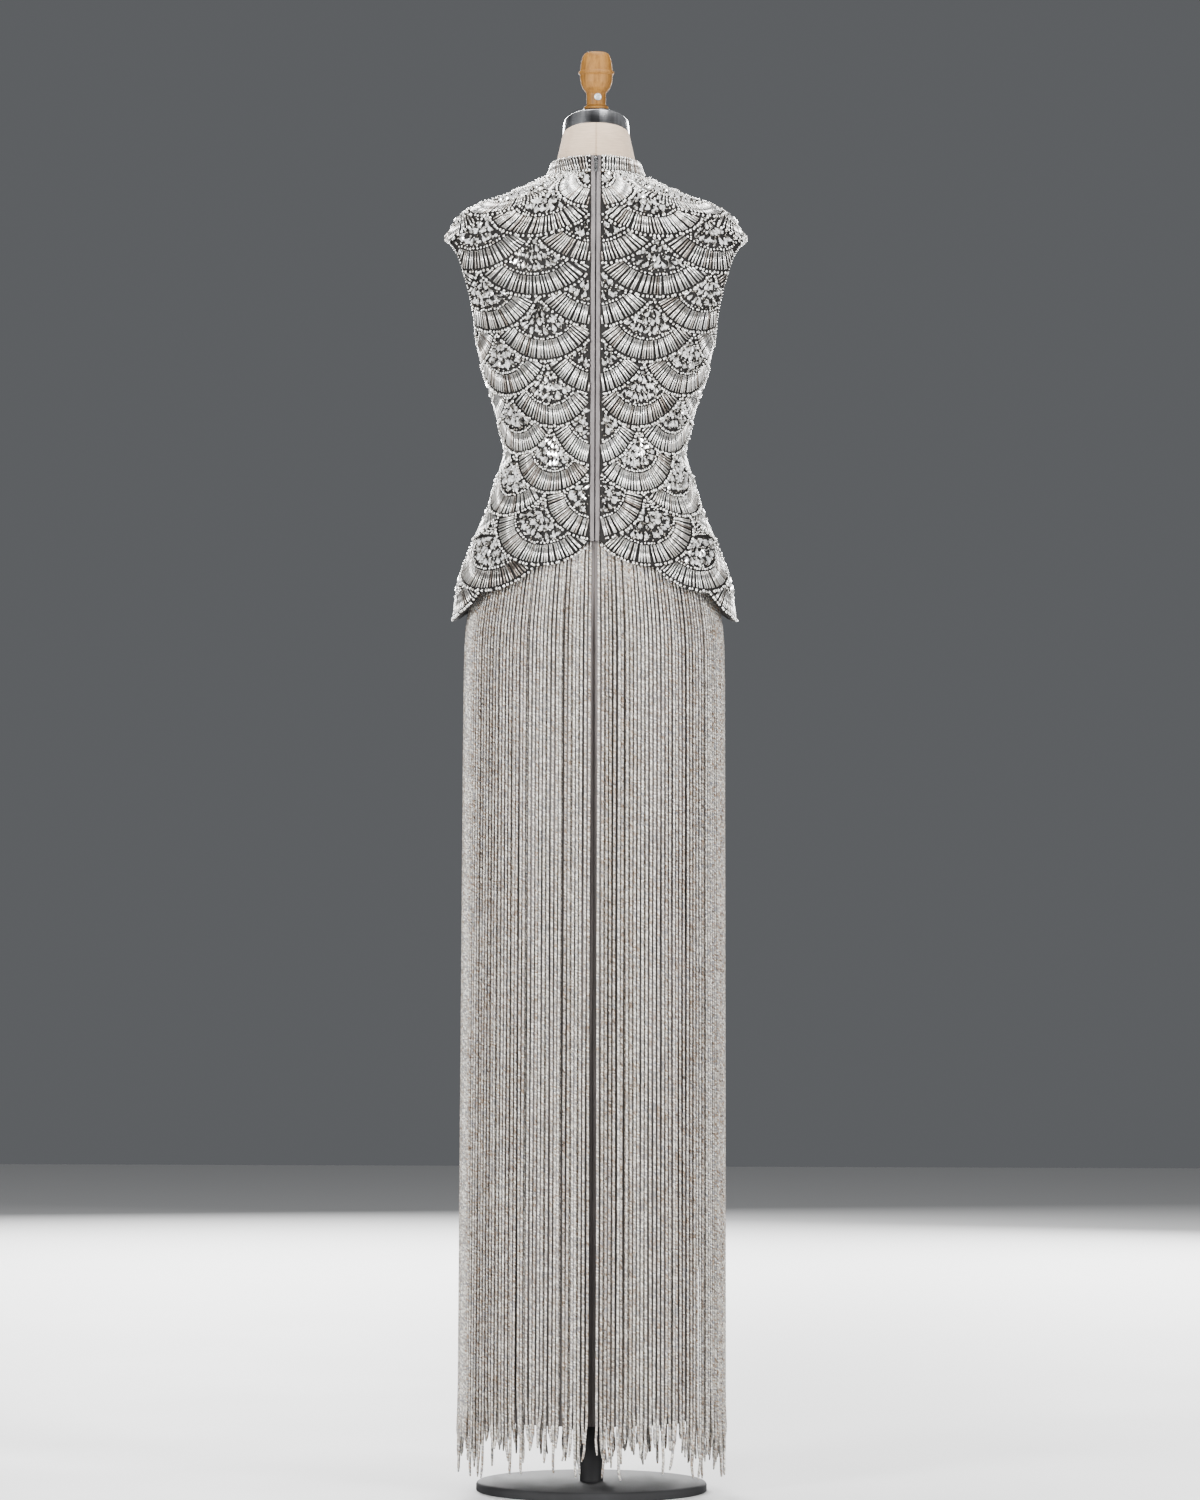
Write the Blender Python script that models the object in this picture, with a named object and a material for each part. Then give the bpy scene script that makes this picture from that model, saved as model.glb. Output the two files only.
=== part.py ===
"""Beaded evening dress on a limbless dress form, in metres, +Z up.

The back of the dress faces -Y and the wearer's right is at +X. The cloth is a set of thin walls lofted
through oval rings. Beaded scales stand proud of the bodice's walls, and strands hang over the underskirt.
"""
import math

import bmesh
import bpy
import numpy as np
from mathutils import Matrix, Vector

MM = 0.001

# Cloth and seams
CLOTH_WALL = 1.5 * MM
SEAM_GAP = 0.3 * MM
FORM_CLEARANCE = {"hips": 0.8 * MM, "torso": 1.3 * MM, "shoulders": 0.6 * MM}
HALF_TURN_UNITS = 6
SIDE_UNIT = 3

# Rings of the bodice's cloth, from the level of the side hem up to the neckline, in millimetres.
# Columns: height at the side, rise at centre back, rise at centre front, half width, depth behind, depth in front
BODICE_RINGS = (
    (1100, 0, 0, 182, 122, 116),
    (1131, 0, 0, 181, 121, 115),
    (1170, 0, 0, 177, 118, 113),
    (1209, 0, 0, 163, 110, 107),
    (1248, 0, 0, 149, 101, 100),
    (1287, 0, 0, 132, 90, 94),
    (1326, 0, 0, 121, 83, 90),
    (1352, 0, 0, 115, 80, 88),
    (1378, 0, 0, 120, 81, 91),
    (1417, 0, 0, 132, 86, 100),
    (1456, 0, 0, 143, 92, 114),
    (1495, 0, 0, 154, 98, 124),
    (1534, 0, 0, 171, 102, 124),
    (1573, 0, 0, 187, 104, 114),
    (1605, 0, -1, 194, 102, 101),
    (1625, 0, -2, 195, 97, 90),
    (1638, 1, -4, 186, 92, 82),
    (1651, 3, -8, 178, 87, 75),
    (1664, 6, -12, 155, 81, 68),
    (1677, 7, -16, 121, 74, 61),
    (1690, 8, -19, 88, 67, 55),
    (1700, 9, -20, 65, 60, 50),
)
SHOULDER_TIP_RING = 15

# How far from the centre plane each armhole's edge lies, in millimetres, ring by ring from the underarm
# to the shoulder's tip. Columns: ring, behind, in front
ARMHOLE_EDGES = (
    (11, 154, 154),
    (12, 159, 152),
    (13, 169, 157),
    (14, 180, 171),
    (15, 195, 195),
)

# Outer face of the underskirt, from under the waist down to its straight hem, in millimetres.
# Columns: height, half width, depth behind, depth in front
UNDERSKIRT_RINGS = (
    (91, 125, 92, 88),
    (400, 144, 102, 94),
    (800, 161, 110, 101),
    (1050, 165, 112, 103),
    (1118, 162, 111, 102),
    (1170, 155, 107, 100),
    (1209, 147, 102, 97.5),
    (1248, 138, 96, 95),
    (1287, 128, 87.5, 91.5),
    (1325, 117.5, 79.5, 86.5),
)

# Scales: each is a fan that hangs from its pole. A unit of girth is a twelfth of the way round.
ROW_STEP = 50.7 * MM
ROW_STEP_LOSS = 0.73 * MM
HEM_BELOW_WAIST = 124 * MM
HEM_LIFT_PER_UNIT = 16.5 * MM
TOP_ROW = 14
FAN_RADIUS = 76 * MM
FAN_HALF_WIDTH = 1.15
FAN_PROUD = 2.2 * MM
CLUSTER_SHARE = 0.6
CLUSTER_PROUD = 1.2 * MM
WAIST_RING = 7

# Mesh of the bodice's walls
COLUMNS_PER_UNIT = 4
PEPLUM_ROWS = 8
FINE_ROWS_END = 14

# Closure at centre back
ZIP_HALF_WIDTH = 6.3 * MM
ZIP_TAPE = 1.0 * MM
ZIP_SLIT = 0.3 * MM

# Collar, a band that leans with the neck. Columns as in BODICE_RINGS
COLLAR_RINGS = (
    (1700.6, 9, -20, 65, 60, 50),
    (1711, 10.5, -20, 62, 58, 48.7),
    (1721, 9.5, -20, 57, 56.4, 47.5),
)

# Fringe
STRANDS = 168
STRAND_RADIUS = 1.7 * MM
STRIP_TOP = 1246 * MM
STRIP_HEIGHT = 8 * MM
STRIP_WALL = 1.9 * MM
# Centre lines of the strands below the hips. Columns: height, half width, depth behind, depth in front
FRINGE_RINGS = (
    (15, 173, 120, 111),
    (130, 173, 120, 111),
    (1110, 168, 117, 108),
)
STRAND_TIPS = (20 * MM, 75 * MM)
# Wider gaps between strands, as angles from centre back in degrees. Columns: side, angle, extra width in millimetres
FRINGE_GAPS = (
    (-1, 14, 1.6),
    (-1, 19, 1.2),
    (-1, 30, 2.2),
    (1, 45, 1.8),
    (1, 57, 2.2),
)

# Dress form and stand
FORM_FOOT = 1022 * MM
FORM_HIP_LEVELS = (1034, 1050, 1118, 1160, 1200, 1240, 1280, 1318)
# Half width of the form's sides and shoulders where the armhole bares them, by ring, in millimetres
FORM_SIDES = {12: 151, 13: 152, 14: 151, 15: 149, 16: 146, 17: 141, 18: 132, 19: 116}
# Rings of the form's neck, with the columns of BODICE_RINGS. The last lies in the plane of the steel cap
NECK_RINGS = (
    (1710, 15, -18, 54.5, 50, 44),
    (1729, 15, -18, 50.5, 45, 44),
    (1745.5, 14.5, -17.5, 46.8, 40, 44.5),
    (1761, 13.7, -17.5, 43.3, 35.6, 45.4),
)
CAP_LEAN = math.radians(21)
CAP_RADIUS = 43.5 * MM
CAP_HEIGHT = 22 * MM
CAP_CENTRE = Vector((0, 5 * MM, 1759.3 * MM))
# Profile of the turned wooden knob. Columns: height above its foot, radius, in millimetres
# The steel boss under the knob stands this far above the cap
KNOB_LIFT = 16.1 * MM
FINIAL_PROFILE = (
    (0, 16), (3, 16), (4.5, 12.5), (20, 12.5), (27, 18), (34, 20.5), (44, 21),
    (45.5, 23), (48.5, 23), (50, 21), (62, 20), (70, 17), (75, 8),
)
POLE_RADIUS = 15 * MM
BASE_RADIUS = 150 * MM
BASE_HEIGHT = 12 * MM


def clear_scene():
    """Leaves no object in the scene."""
    for old in list(bpy.data.objects):
        bpy.data.objects.remove(old)


def material(name, colour, roughness, metallic=0.0):
    """A plain finish."""
    made = bpy.data.materials.new(name)
    made.use_nodes = True
    shader = made.node_tree.nodes["Principled BSDF"]
    shader.inputs["Base Color"].default_value = (*colour, 1)
    shader.inputs["Roughness"].default_value = roughness
    shader.inputs["Metallic"].default_value = metallic
    return made


def smooth_table(table):
    """Reads a table of rings at any ring number, on a smooth curve through its rows that doesn't overshoot."""
    values = np.array(table, float) * MM
    steps = np.diff(values, axis=0)
    slopes = np.zeros_like(values)
    inner = steps[:-1] * steps[1:]
    slopes[1:-1] = np.where(inner > 0, 2 * inner / np.where(inner > 0, steps[:-1] + steps[1:], 1), 0)
    slopes[0], slopes[-1] = steps[0], steps[-1]

    def read(ring):
        ring = np.clip(np.asarray(ring, float), 0, len(values) - 1)
        low = np.minimum(ring.astype(int), len(values) - 2)
        share = (ring - low)[..., None]
        a, b = values[low], values[low + 1]
        return ((1 + 2 * share) * (1 - share) ** 2 * a + share * (1 - share) ** 2 * slopes[low]
                + share ** 2 * (3 - 2 * share) * b + share ** 2 * (share - 1) * slopes[low + 1])

    return read


def by_height(table):
    """Turns a table of (height, half width, behind, in front) into one with the ring's rises, which are none."""
    return tuple((z, 0, 0, a, back, front) for z, a, back, front in table)


bodice_ring = smooth_table(BODICE_RINGS)
collar_ring = smooth_table(COLLAR_RINGS)
underskirt_ring = smooth_table(by_height(UNDERSKIRT_RINGS))
fringe_ring = smooth_table(by_height(FRINGE_RINGS))


def ring_at_height(ring, count, height):
    """The ring number at which the side of a surface has this height."""
    numbers = np.linspace(0, count - 1, 60 * count)
    return np.interp(height, ring(numbers)[:, 0], numbers)


def oval(ring, number, angle):
    """Point of a ring at an angle from centre back, which grows towards +X: x = a sin, y = -b cos or -c cos."""
    side, rise_back, rise_front, half, behind, before = np.moveaxis(ring(number), -1, 0)
    cosine, sine = np.cos(angle), np.sin(angle)
    back = cosine > 0
    depth = np.where(back, behind, before)
    rise = np.where(back, rise_back, rise_front)
    return np.stack(np.broadcast_arrays(half * sine, -depth * cosine, side + rise * np.abs(cosine)), axis=-1)


def angle_of_girth(ring, number, girth):
    """The angle at which a share of the way round is reached. A quarter turn is three units of girth."""
    angles = np.linspace(0, math.pi, 181)
    points = oval(ring, np.full(angles.shape, float(number)), angles)
    lengths = np.concatenate([[0], np.cumsum(np.linalg.norm(np.diff(points, axis=0), axis=1))])
    side = lengths[90]
    units = np.where(lengths <= side, SIDE_UNIT * lengths / side,
                     SIDE_UNIT + SIDE_UNIT * (lengths - side) / (lengths[-1] - side))
    girth = np.asarray(girth, float)
    return np.sign(girth) * np.interp(np.abs(girth), units, angles)


def girth_of_angle(ring, number, angle):
    """The share of the way round at an angle, the other way about."""
    units = np.linspace(0, HALF_TURN_UNITS, 241)
    return np.interp(angle, angle_of_girth(ring, number, units), units)


def unit_length(ring, number):
    """Length of one unit of girth on the back half of a ring."""
    angles = np.linspace(0, math.pi / 2, 91)
    points = oval(ring, np.full(angles.shape, float(number)), angles)
    return np.linalg.norm(np.diff(points, axis=0), axis=1).sum() / SIDE_UNIT


def surface(ring, numbers, girths):
    """Grids of points and of their normals: a row for each ring number, a column for each of its girths."""
    angles = np.array([angle_of_girth(ring, n, g) for n, g in zip(numbers, girths)])
    numbers = np.repeat(np.asarray(numbers, float)[:, None], angles.shape[1], 1)
    return oval(ring, numbers, angles), outward(ring, numbers, angles)


def outward(ring, numbers, angles):
    """Unit normals that point out of a surface, taken over a short step so that two panels agree at their seam."""
    step = 0.01
    across = oval(ring, numbers, angles + step) - oval(ring, numbers, angles - step)
    up = oval(ring, numbers + 4 * step, angles) - oval(ring, numbers - 4 * step, angles)
    normal = np.cross(across, up)
    return normal / np.linalg.norm(normal, axis=-1, keepdims=True)


def finished(name, mesh_data, finish, smooth_angle=40):
    """Makes the object from a bmesh, with its faces pointing out."""
    mesh = bpy.data.meshes.new(name)
    bmesh.ops.recalc_face_normals(mesh_data, faces=mesh_data.faces)
    mesh_data.to_mesh(mesh)
    mesh_data.free()
    mesh.shade_smooth()
    mesh.set_sharp_from_angle(angle=math.radians(smooth_angle))
    mesh.materials.append(finish)
    made = bpy.data.objects.new(name, mesh)
    bpy.context.scene.collection.objects.link(made)
    return made


def wall(name, outer, inner, finish):
    """Closed wall between an outer and an inner grid of points, rimmed on its four sides."""
    rows, columns = outer.shape[:2]
    built = bmesh.new()
    faces_out = [[built.verts.new(p) for p in row] for row in outer]
    faces_in = [[built.verts.new(p) for p in row] for row in inner]
    for r in range(rows - 1):
        for c in range(columns - 1):
            built.faces.new((faces_out[r][c], faces_out[r][c + 1], faces_out[r + 1][c + 1], faces_out[r + 1][c]))
            built.faces.new((faces_in[r][c], faces_in[r + 1][c], faces_in[r + 1][c + 1], faces_in[r][c + 1]))
    for r in (0, rows - 1):
        for c in range(columns - 1):
            built.faces.new((faces_out[r][c], faces_in[r][c], faces_in[r][c + 1], faces_out[r][c + 1]))
    for c in (0, columns - 1):
        for r in range(rows - 1):
            built.faces.new((faces_out[r][c], faces_out[r + 1][c], faces_in[r + 1][c], faces_in[r][c]))
    return finished(name, built, finish)


def turned(name, profile, finish, sides=24, place=Matrix.Identity(4)):
    """Solid of revolution about Z from a profile of (height, radius), closed with flat ends."""
    built = bmesh.new()
    angles = [2 * math.pi * s / sides for s in range(sides)]
    circles = [[built.verts.new(place @ Vector((r * math.cos(a), r * math.sin(a), z))) for a in angles]
               for z, r in profile]
    for low, high in zip(circles, circles[1:]):
        for s in range(sides):
            built.faces.new((low[s], low[(s + 1) % sides], high[(s + 1) % sides], high[s]))
    built.faces.new(circles[0][::-1])
    built.faces.new(circles[-1])
    return finished(name, built, finish, 30)


# The scales' layout, in girth units across and metres of cloth above the waist


def hem_fade(row):
    """1 at the hem's rows, and none from a little above the waist."""
    share = np.clip((5 - row) / 6, 0, 1)
    return share * share * (3 - 2 * share)


def row_bottom(column, row):
    """How far above the waist the lowest point of a scale lies."""
    away = min(abs(column), HALF_TURN_UNITS - abs(column))
    level = ROW_STEP * row - ROW_STEP_LOSS * row * row - HEM_BELOW_WAIST
    return level + HEM_LIFT_PER_UNIT * away * hem_fade(row)


def scales():
    """All scales as (column, height of the lowest point), from the hem up: rows are staggered by one unit."""
    found = []
    for row in range(-SIDE_UNIT, TOP_ROW + 1):
        for column in range(-HALF_TURN_UNITS + 1, HALF_TURN_UNITS + 1):
            lowest_row = -min(abs(column), HALF_TURN_UNITS - abs(column))
            if row >= lowest_row and (row + column) % 2 == 0:
                found.append((column, row_bottom(column, row)))
    return found


SCALES = scales()


def hem_height(girth):
    """Lower edge of the peplum above the waist: the lowest arc of the scales that end there."""
    lowest = np.full(np.shape(girth), np.inf)
    for column in range(-HALF_TURN_UNITS, HALF_TURN_UNITS + 1):
        row = -min(abs(column), HALF_TURN_UNITS - abs(column))
        across = np.clip(np.abs(girth - column) / FAN_HALF_WIDTH, 0, 1)
        arc = row_bottom(column, row) + FAN_RADIUS * (1 - np.sqrt(1 - across ** 2))
        lowest = np.minimum(lowest, np.where(across < 1, arc, np.inf))
    return lowest


def scale_relief(girth, height):
    """How proud the beading stands: each scale thickens towards its arc, and its cluster of stones is a mound."""
    proud = np.zeros(np.shape(girth))
    for column, bottom in SCALES:
        across = (girth - column + HALF_TURN_UNITS) % (2 * HALF_TURN_UNITS) - HALF_TURN_UNITS
        radius = np.hypot(across / FAN_HALF_WIDTH, (height - bottom - FAN_RADIUS) / FAN_RADIUS)
        inside = (radius <= 1.0) & (height < bottom + FAN_RADIUS)
        mound = CLUSTER_PROUD * np.cos(np.clip(radius / CLUSTER_SHARE, 0, 1) * math.pi / 2)
        proud = np.where(inside, FAN_PROUD * radius ** 2 + mound, proud)
    return proud


def climb_table():
    """Cloth length above the waist for each ring number, at each of a set of angles."""
    numbers = np.linspace(0, len(BODICE_RINGS) - 1, 430)
    angles = np.linspace(0, math.pi, 37)
    points = oval(bodice_ring, numbers[:, None], angles[None, :])
    lengths = np.concatenate([np.zeros((1, 37)), np.cumsum(np.linalg.norm(np.diff(points, axis=0), axis=2), axis=0)])
    waist = np.argmin(np.abs(numbers - WAIST_RING))
    return numbers, angles, lengths - lengths[waist]


CLIMB_NUMBERS, CLIMB_ANGLES, CLIMB = climb_table()


def number_at_climb(angle, climb):
    """The ring number that lies this length of cloth above the waist, at an angle."""
    column = np.array([np.interp(abs(angle), CLIMB_ANGLES, row) for row in CLIMB])
    return float(np.interp(climb, column, CLIMB_NUMBERS))


def climb_at(number, angle):
    """Length of cloth above the waist at a ring number and an angle."""
    column = np.array([np.interp(abs(angle), CLIMB_ANGLES, row) for row in CLIMB])
    return float(np.interp(number, CLIMB_NUMBERS, column))


def edge_girth(number, behind):
    """Girth of a panel's outer edge: the side seam, the armhole's edge, or the shoulder seam."""
    rings = [row[0] for row in ARMHOLE_EDGES]
    seam = SIDE_UNIT - SEAM_GAP / 2 / unit_length(bodice_ring, number)
    if not rings[0] < number < rings[-1]:
        return seam if behind else 2 * SIDE_UNIT - seam
    edge = smooth_table([row[1:] for row in ARMHOLE_EDGES])(number - rings[0])[0 if behind else 1]
    half = bodice_ring(number)[3]
    angle = math.asin(min(1, edge / half))
    girth = float(girth_of_angle(bodice_ring, number, angle if behind else math.pi - angle))
    return min(girth, seam) if behind else max(girth, 2 * SIDE_UNIT - seam)


def bodice_grid(behind):
    """Grid of (ring number, girth) for a quarter of the bodice at +X, from its centre line to its outer edge."""
    columns = SIDE_UNIT * COLUMNS_PER_UNIT + 1
    upper = np.concatenate([np.arange(WAIST_RING, FINE_ROWS_END, 0.5), np.arange(FINE_ROWS_END, len(BODICE_RINGS))])
    numbers = np.zeros((PEPLUM_ROWS + len(upper), columns))
    girths = np.zeros(numbers.shape)
    start = ZIP_HALF_WIDTH + SEAM_GAP
    for c, share in enumerate(np.linspace(0, 1, columns)):
        rough = SIDE_UNIT * share if behind else HALF_TURN_UNITS - SIDE_UNIT * share
        angle = angle_of_girth(bodice_ring, 2, rough)
        low = number_at_climb(angle, float(hem_height(rough)))
        lower = np.linspace(low, WAIST_RING, PEPLUM_ROWS, endpoint=False)
        numbers[:, c] = np.concatenate([lower, upper])
        for r in range(len(numbers)):
            number = numbers[r, c]
            edge = edge_girth(number, behind)
            centre = start / unit_length(bodice_ring, number) if behind else HALF_TURN_UNITS
            girths[r, c] = centre + (edge - centre) * share
    return numbers, girths


def bodice_points(numbers, girths):
    """Points of the plain cloth, its outward normals, and the beading's height, on a grid."""
    rows, columns = numbers.shape
    angles = np.zeros((rows, columns))
    relief = np.zeros((rows, columns))
    for r in range(rows):
        for c in range(columns):
            angles[r, c] = angle_of_girth(bodice_ring, numbers[r, c], girths[r, c])
            relief[r, c] = scale_relief(girths[r, c], climb_at(numbers[r, c], angles[r, c]))
    relief[-1] = 0
    return oval(bodice_ring, numbers, angles), outward(bodice_ring, numbers, angles), relief


def mirrored(points):
    """The same grid on the -X side, with its columns in the order that keeps it facing out."""
    return (points * np.array([-1, 1, 1]))[:, ::-1]


def bodice_panels(finish):
    """Back panels either side of the closure, and the front in one piece, each with its part of the peplum."""
    points, normals, relief = bodice_points(*bodice_grid(True))
    outer = points + normals * relief[..., None]
    inner = points - normals * CLOTH_WALL
    wall("bodice_back_right", outer, inner, finish)
    wall("bodice_back_left", mirrored(outer), mirrored(inner), finish)
    points, normals, relief = bodice_points(*bodice_grid(False))
    outer = (points + normals * relief[..., None])[:, ::-1]
    inner = (points - normals * CLOTH_WALL)[:, ::-1]
    outer[:, -1, 0] = inner[:, -1, 0] = 0
    whole_outer = np.concatenate([outer, mirrored(outer)[:, 1:]], axis=1)
    whole_inner = np.concatenate([inner, mirrored(inner)[:, 1:]], axis=1)
    wall("bodice_front", whole_outer, whole_inner, finish)


COLLAR_COLUMNS = 41
COLLAR_PROUD = 1.2 * MM


def collar(finish):
    """Stand collar in one band, open at centre back, with a rib of beading along its lower edge."""
    numbers = np.array([0, 0.7, 1.4, 2])
    girths = []
    for number in numbers:
        start = (ZIP_HALF_WIDTH + SEAM_GAP) / unit_length(collar_ring, number)
        girths.append(np.linspace(start, 2 * HALF_TURN_UNITS - start, COLLAR_COLUMNS))
    folded = [np.where(g > HALF_TURN_UNITS, g - 2 * HALF_TURN_UNITS, g) for g in girths]
    points, normals = surface(collar_ring, numbers, folded)
    proud = np.array([COLLAR_PROUD, 0, 0, COLLAR_PROUD])[:, None, None]
    wall("collar", points + normals * proud, points - normals * CLOTH_WALL, finish)


def centre_back_line(rows):
    """Points down the closure from the collar's top to the peplum's hem, lowest first."""
    hem = number_at_climb(0, -HEM_BELOW_WAIST)
    on_bodice = oval(bodice_ring, np.linspace(hem, len(BODICE_RINGS) - 1, rows), np.zeros(rows))
    on_collar = oval(collar_ring, np.array([1.0, 2.0]), np.zeros(2))
    return np.concatenate([on_bodice, on_collar])


def ribbon(name, line, low_x, high_x, outer_depth, inner_depth, finish):
    """Flat strip along a line in the centre plane, between two distances from it and two depths in the cloth."""
    along = np.gradient(line, axis=0)
    out = np.stack([np.zeros(len(line)), -along[:, 2], along[:, 1]], axis=1)
    out /= np.linalg.norm(out, axis=1, keepdims=True)
    grid = np.stack([line, line], axis=1)
    grid[:, 0, 0], grid[:, 1, 0] = low_x, high_x
    wall(name, grid - out[:, None] * outer_depth, grid - out[:, None] * inner_depth, finish)


def closure(tape_finish, coil_finish):
    """Zip at centre back: two tapes that almost meet, and the coil behind the slit."""
    line = centre_back_line(20)
    ribbon("zip_tape_right", line, ZIP_SLIT, ZIP_HALF_WIDTH, 0, ZIP_TAPE, tape_finish)
    ribbon("zip_tape_left", line, -ZIP_HALF_WIDTH, -ZIP_SLIT, 0, ZIP_TAPE, tape_finish)
    ribbon("zip_coil", line, -1.2 * MM, 1.2 * MM, ZIP_TAPE + SEAM_GAP, 1.7 * MM, coil_finish)


SLIDER_WIDTH = 5.4 * MM
SLIDER_HEIGHT = 7 * MM
SLIDER_THICK = 1.4 * MM
EAR_WALL = 0.8 * MM
PIN_RADIUS = 0.5 * MM
EYE_RADIUS = 1.4 * MM
EYE_BORE = 0.85 * MM
PIN_OUT = 3.4 * MM
PULL_WIDTH = 3.0 * MM
PULL_PLATE_WIDTH = 4.6 * MM
PULL_LENGTH = 18 * MM
PULL_THICK = 1.0 * MM


def box(name, low, high, finish):
    """Plain block between two corners."""
    built = bmesh.new()
    bmesh.ops.create_cube(built, size=1)
    low, high = Vector(low), Vector(high)
    for vert in built.verts:
        vert.co = Vector([(l + h) / 2 + c * (h - l) for l, h, c in zip(low, high, vert.co)])
    return finished(name, built, finish)


def rod(name, centre, radius, length, finish, sides=12):
    """Cylinder along X."""
    lay = Matrix.Translation(centre) @ Matrix.Rotation(math.pi / 2, 4, "Y")
    return turned(name, ((-length / 2, radius), (length / 2, radius)), finish, sides, lay)


def combine(base, other, operation):
    """Joins another shape to an object or cuts it away, and removes the other shape."""
    cut = base.modifiers.new("combine", "BOOLEAN")
    cut.operation = operation
    cut.solver = "EXACT"
    cut.object = other
    graph = bpy.context.evaluated_depsgraph_get()
    mesh = bpy.data.meshes.new_from_object(base.evaluated_get(graph))
    base.modifiers.clear()
    base.data = mesh
    bpy.data.objects.remove(other)


def slider_and_pull(finish):
    """Slider at the top of the zip, with two ears and a pin, and the pull tab whose eye turns on the pin."""
    top, below = oval(collar_ring, 2.0, 0.0), oval(collar_ring, 1.0, 0.0)
    high = top[2] - 0.5 * MM
    face = np.interp(high - SLIDER_HEIGHT, (below[2], top[2]), (below[1], top[1])) - SEAM_GAP
    pin_y, pin_z = face - PIN_OUT, high - 3 * MM
    slider = box("zip_slider", (-SLIDER_WIDTH / 2, face - SLIDER_THICK, high - SLIDER_HEIGHT),
                 (SLIDER_WIDTH / 2, face, high), finish)
    for side in (-1, 1):
        middle = side * (SLIDER_WIDTH / 2 - EAR_WALL / 2)
        ear = box("ear", (middle - EAR_WALL / 2, pin_y - 1.0 * MM, pin_z - 1.2 * MM),
                  (middle + EAR_WALL / 2, face - SLIDER_THICK / 2, pin_z + 1.2 * MM), finish)
        combine(slider, ear, "UNION")
    combine(slider, rod("pin", (0, pin_y, pin_z), PIN_RADIUS, SLIDER_WIDTH - EAR_WALL, finish), "UNION")

    pull = rod("zip_pull", (0, pin_y, pin_z), EYE_RADIUS, PULL_WIDTH, finish, 16)
    shank = box("shank", (-PULL_WIDTH / 2, pin_y - PULL_THICK / 2, pin_z - 5 * MM),
                (PULL_WIDTH / 2, pin_y + PULL_THICK / 2, pin_z - 0.9 * MM), finish)
    combine(pull, shank, "UNION")
    blade = box("blade", (-PULL_PLATE_WIDTH / 2, pin_y - PULL_THICK * 0.45, pin_z - PULL_LENGTH),
                (PULL_PLATE_WIDTH / 2, pin_y + PULL_THICK * 0.45, pin_z - 4.4 * MM), finish)
    combine(pull, blade, "UNION")
    combine(pull, rod("bore", (0, pin_y, pin_z), EYE_BORE, PULL_PLATE_WIDTH, finish, 16), "DIFFERENCE")
    pin = Vector((0, pin_y, pin_z))
    pull.data.transform(Matrix.Translation(-pin))
    pull.location = pin


UNDERSKIRT_LEVELS = (91, 400, 800, 1050, 1118, 1160, 1200, 1240, 1280, 1316)
UNDERSKIRT_COLUMNS = 2 * SIDE_UNIT + 1


def underskirt_numbers(levels):
    """Ring numbers of the underskirt at some heights in millimetres."""
    return [float(ring_at_height(underskirt_ring, len(UNDERSKIRT_RINGS), level * MM)) for level in levels]


def underskirt(finish):
    """Three panels of plain crepe: a front, and two backs that meet in a seam at centre back."""
    numbers = underskirt_numbers(UNDERSKIRT_LEVELS)
    gaps = [SEAM_GAP / 2 / unit_length(underskirt_ring, n) for n in numbers]
    right, normals = surface(underskirt_ring, numbers,
                             [np.linspace(g, SIDE_UNIT - g, UNDERSKIRT_COLUMNS) for g in gaps])
    inner = right - normals * CLOTH_WALL
    wall("underskirt_back_right", right, inner, finish)
    wall("underskirt_back_left", mirrored(right), mirrored(inner), finish)
    half, normals = surface(underskirt_ring, numbers,
                            [np.linspace(SIDE_UNIT + g, HALF_TURN_UNITS, UNDERSKIRT_COLUMNS) for g in gaps])
    inner = half - normals * CLOTH_WALL
    half[:, -1, 0] = inner[:, -1, 0] = 0
    outer = np.concatenate([half, mirrored(half)[:, 1:]], axis=1)
    wall("underskirt_front", outer, np.concatenate([inner, mirrored(inner)[:, 1:]], axis=1), finish)


def strand_line(angle, tip, sway):
    """Centre line of a strand: it leaves the strip, rounds the hip over the underskirt and hangs straight."""
    levels = (STRIP_TOP - STRIP_HEIGHT, 1172 * MM, 1110 * MM, tip)
    line = []
    for level in levels:
        if level > FRINGE_RINGS[-1][0] * MM + MM:
            number = ring_at_height(underskirt_ring, len(UNDERSKIRT_RINGS), level)
            point = oval(underskirt_ring, float(number), angle)
            grown = STRIP_WALL / 2 + SEAM_GAP if level > 1.2 else 2.6 * MM
            point = point + grown * np.array([math.sin(angle), -math.cos(angle), 0])
        else:
            number = ring_at_height(fringe_ring, len(FRINGE_RINGS), level)
            point = oval(fringe_ring, float(number), angle)
        line.append(point)
    line[-1] = line[-1] + sway * np.array([math.cos(angle), math.sin(angle), 0])
    return line


def strand_angles(first, last, count, chance):
    """Angles of the strands on one side, evenly laid by girth, jittered, and parted at the wider gaps."""
    number = len(FRINGE_RINGS) - 1
    girths = np.linspace(first, last, count)
    step = abs(last - first) / (count - 1)
    girths = girths + chance.uniform(-0.12, 0.12, count) * step
    angles = angle_of_girth(fringe_ring, number, girths)
    for side, where, extra in FRINGE_GAPS:
        away = angles - side * math.radians(where)
        push = extra * MM / 2 / 0.15
        angles = angles + np.sign(away) * push * np.exp(-(away / 0.09) ** 2) * (np.sign(first) == side)
    return np.sort(angles)


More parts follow.
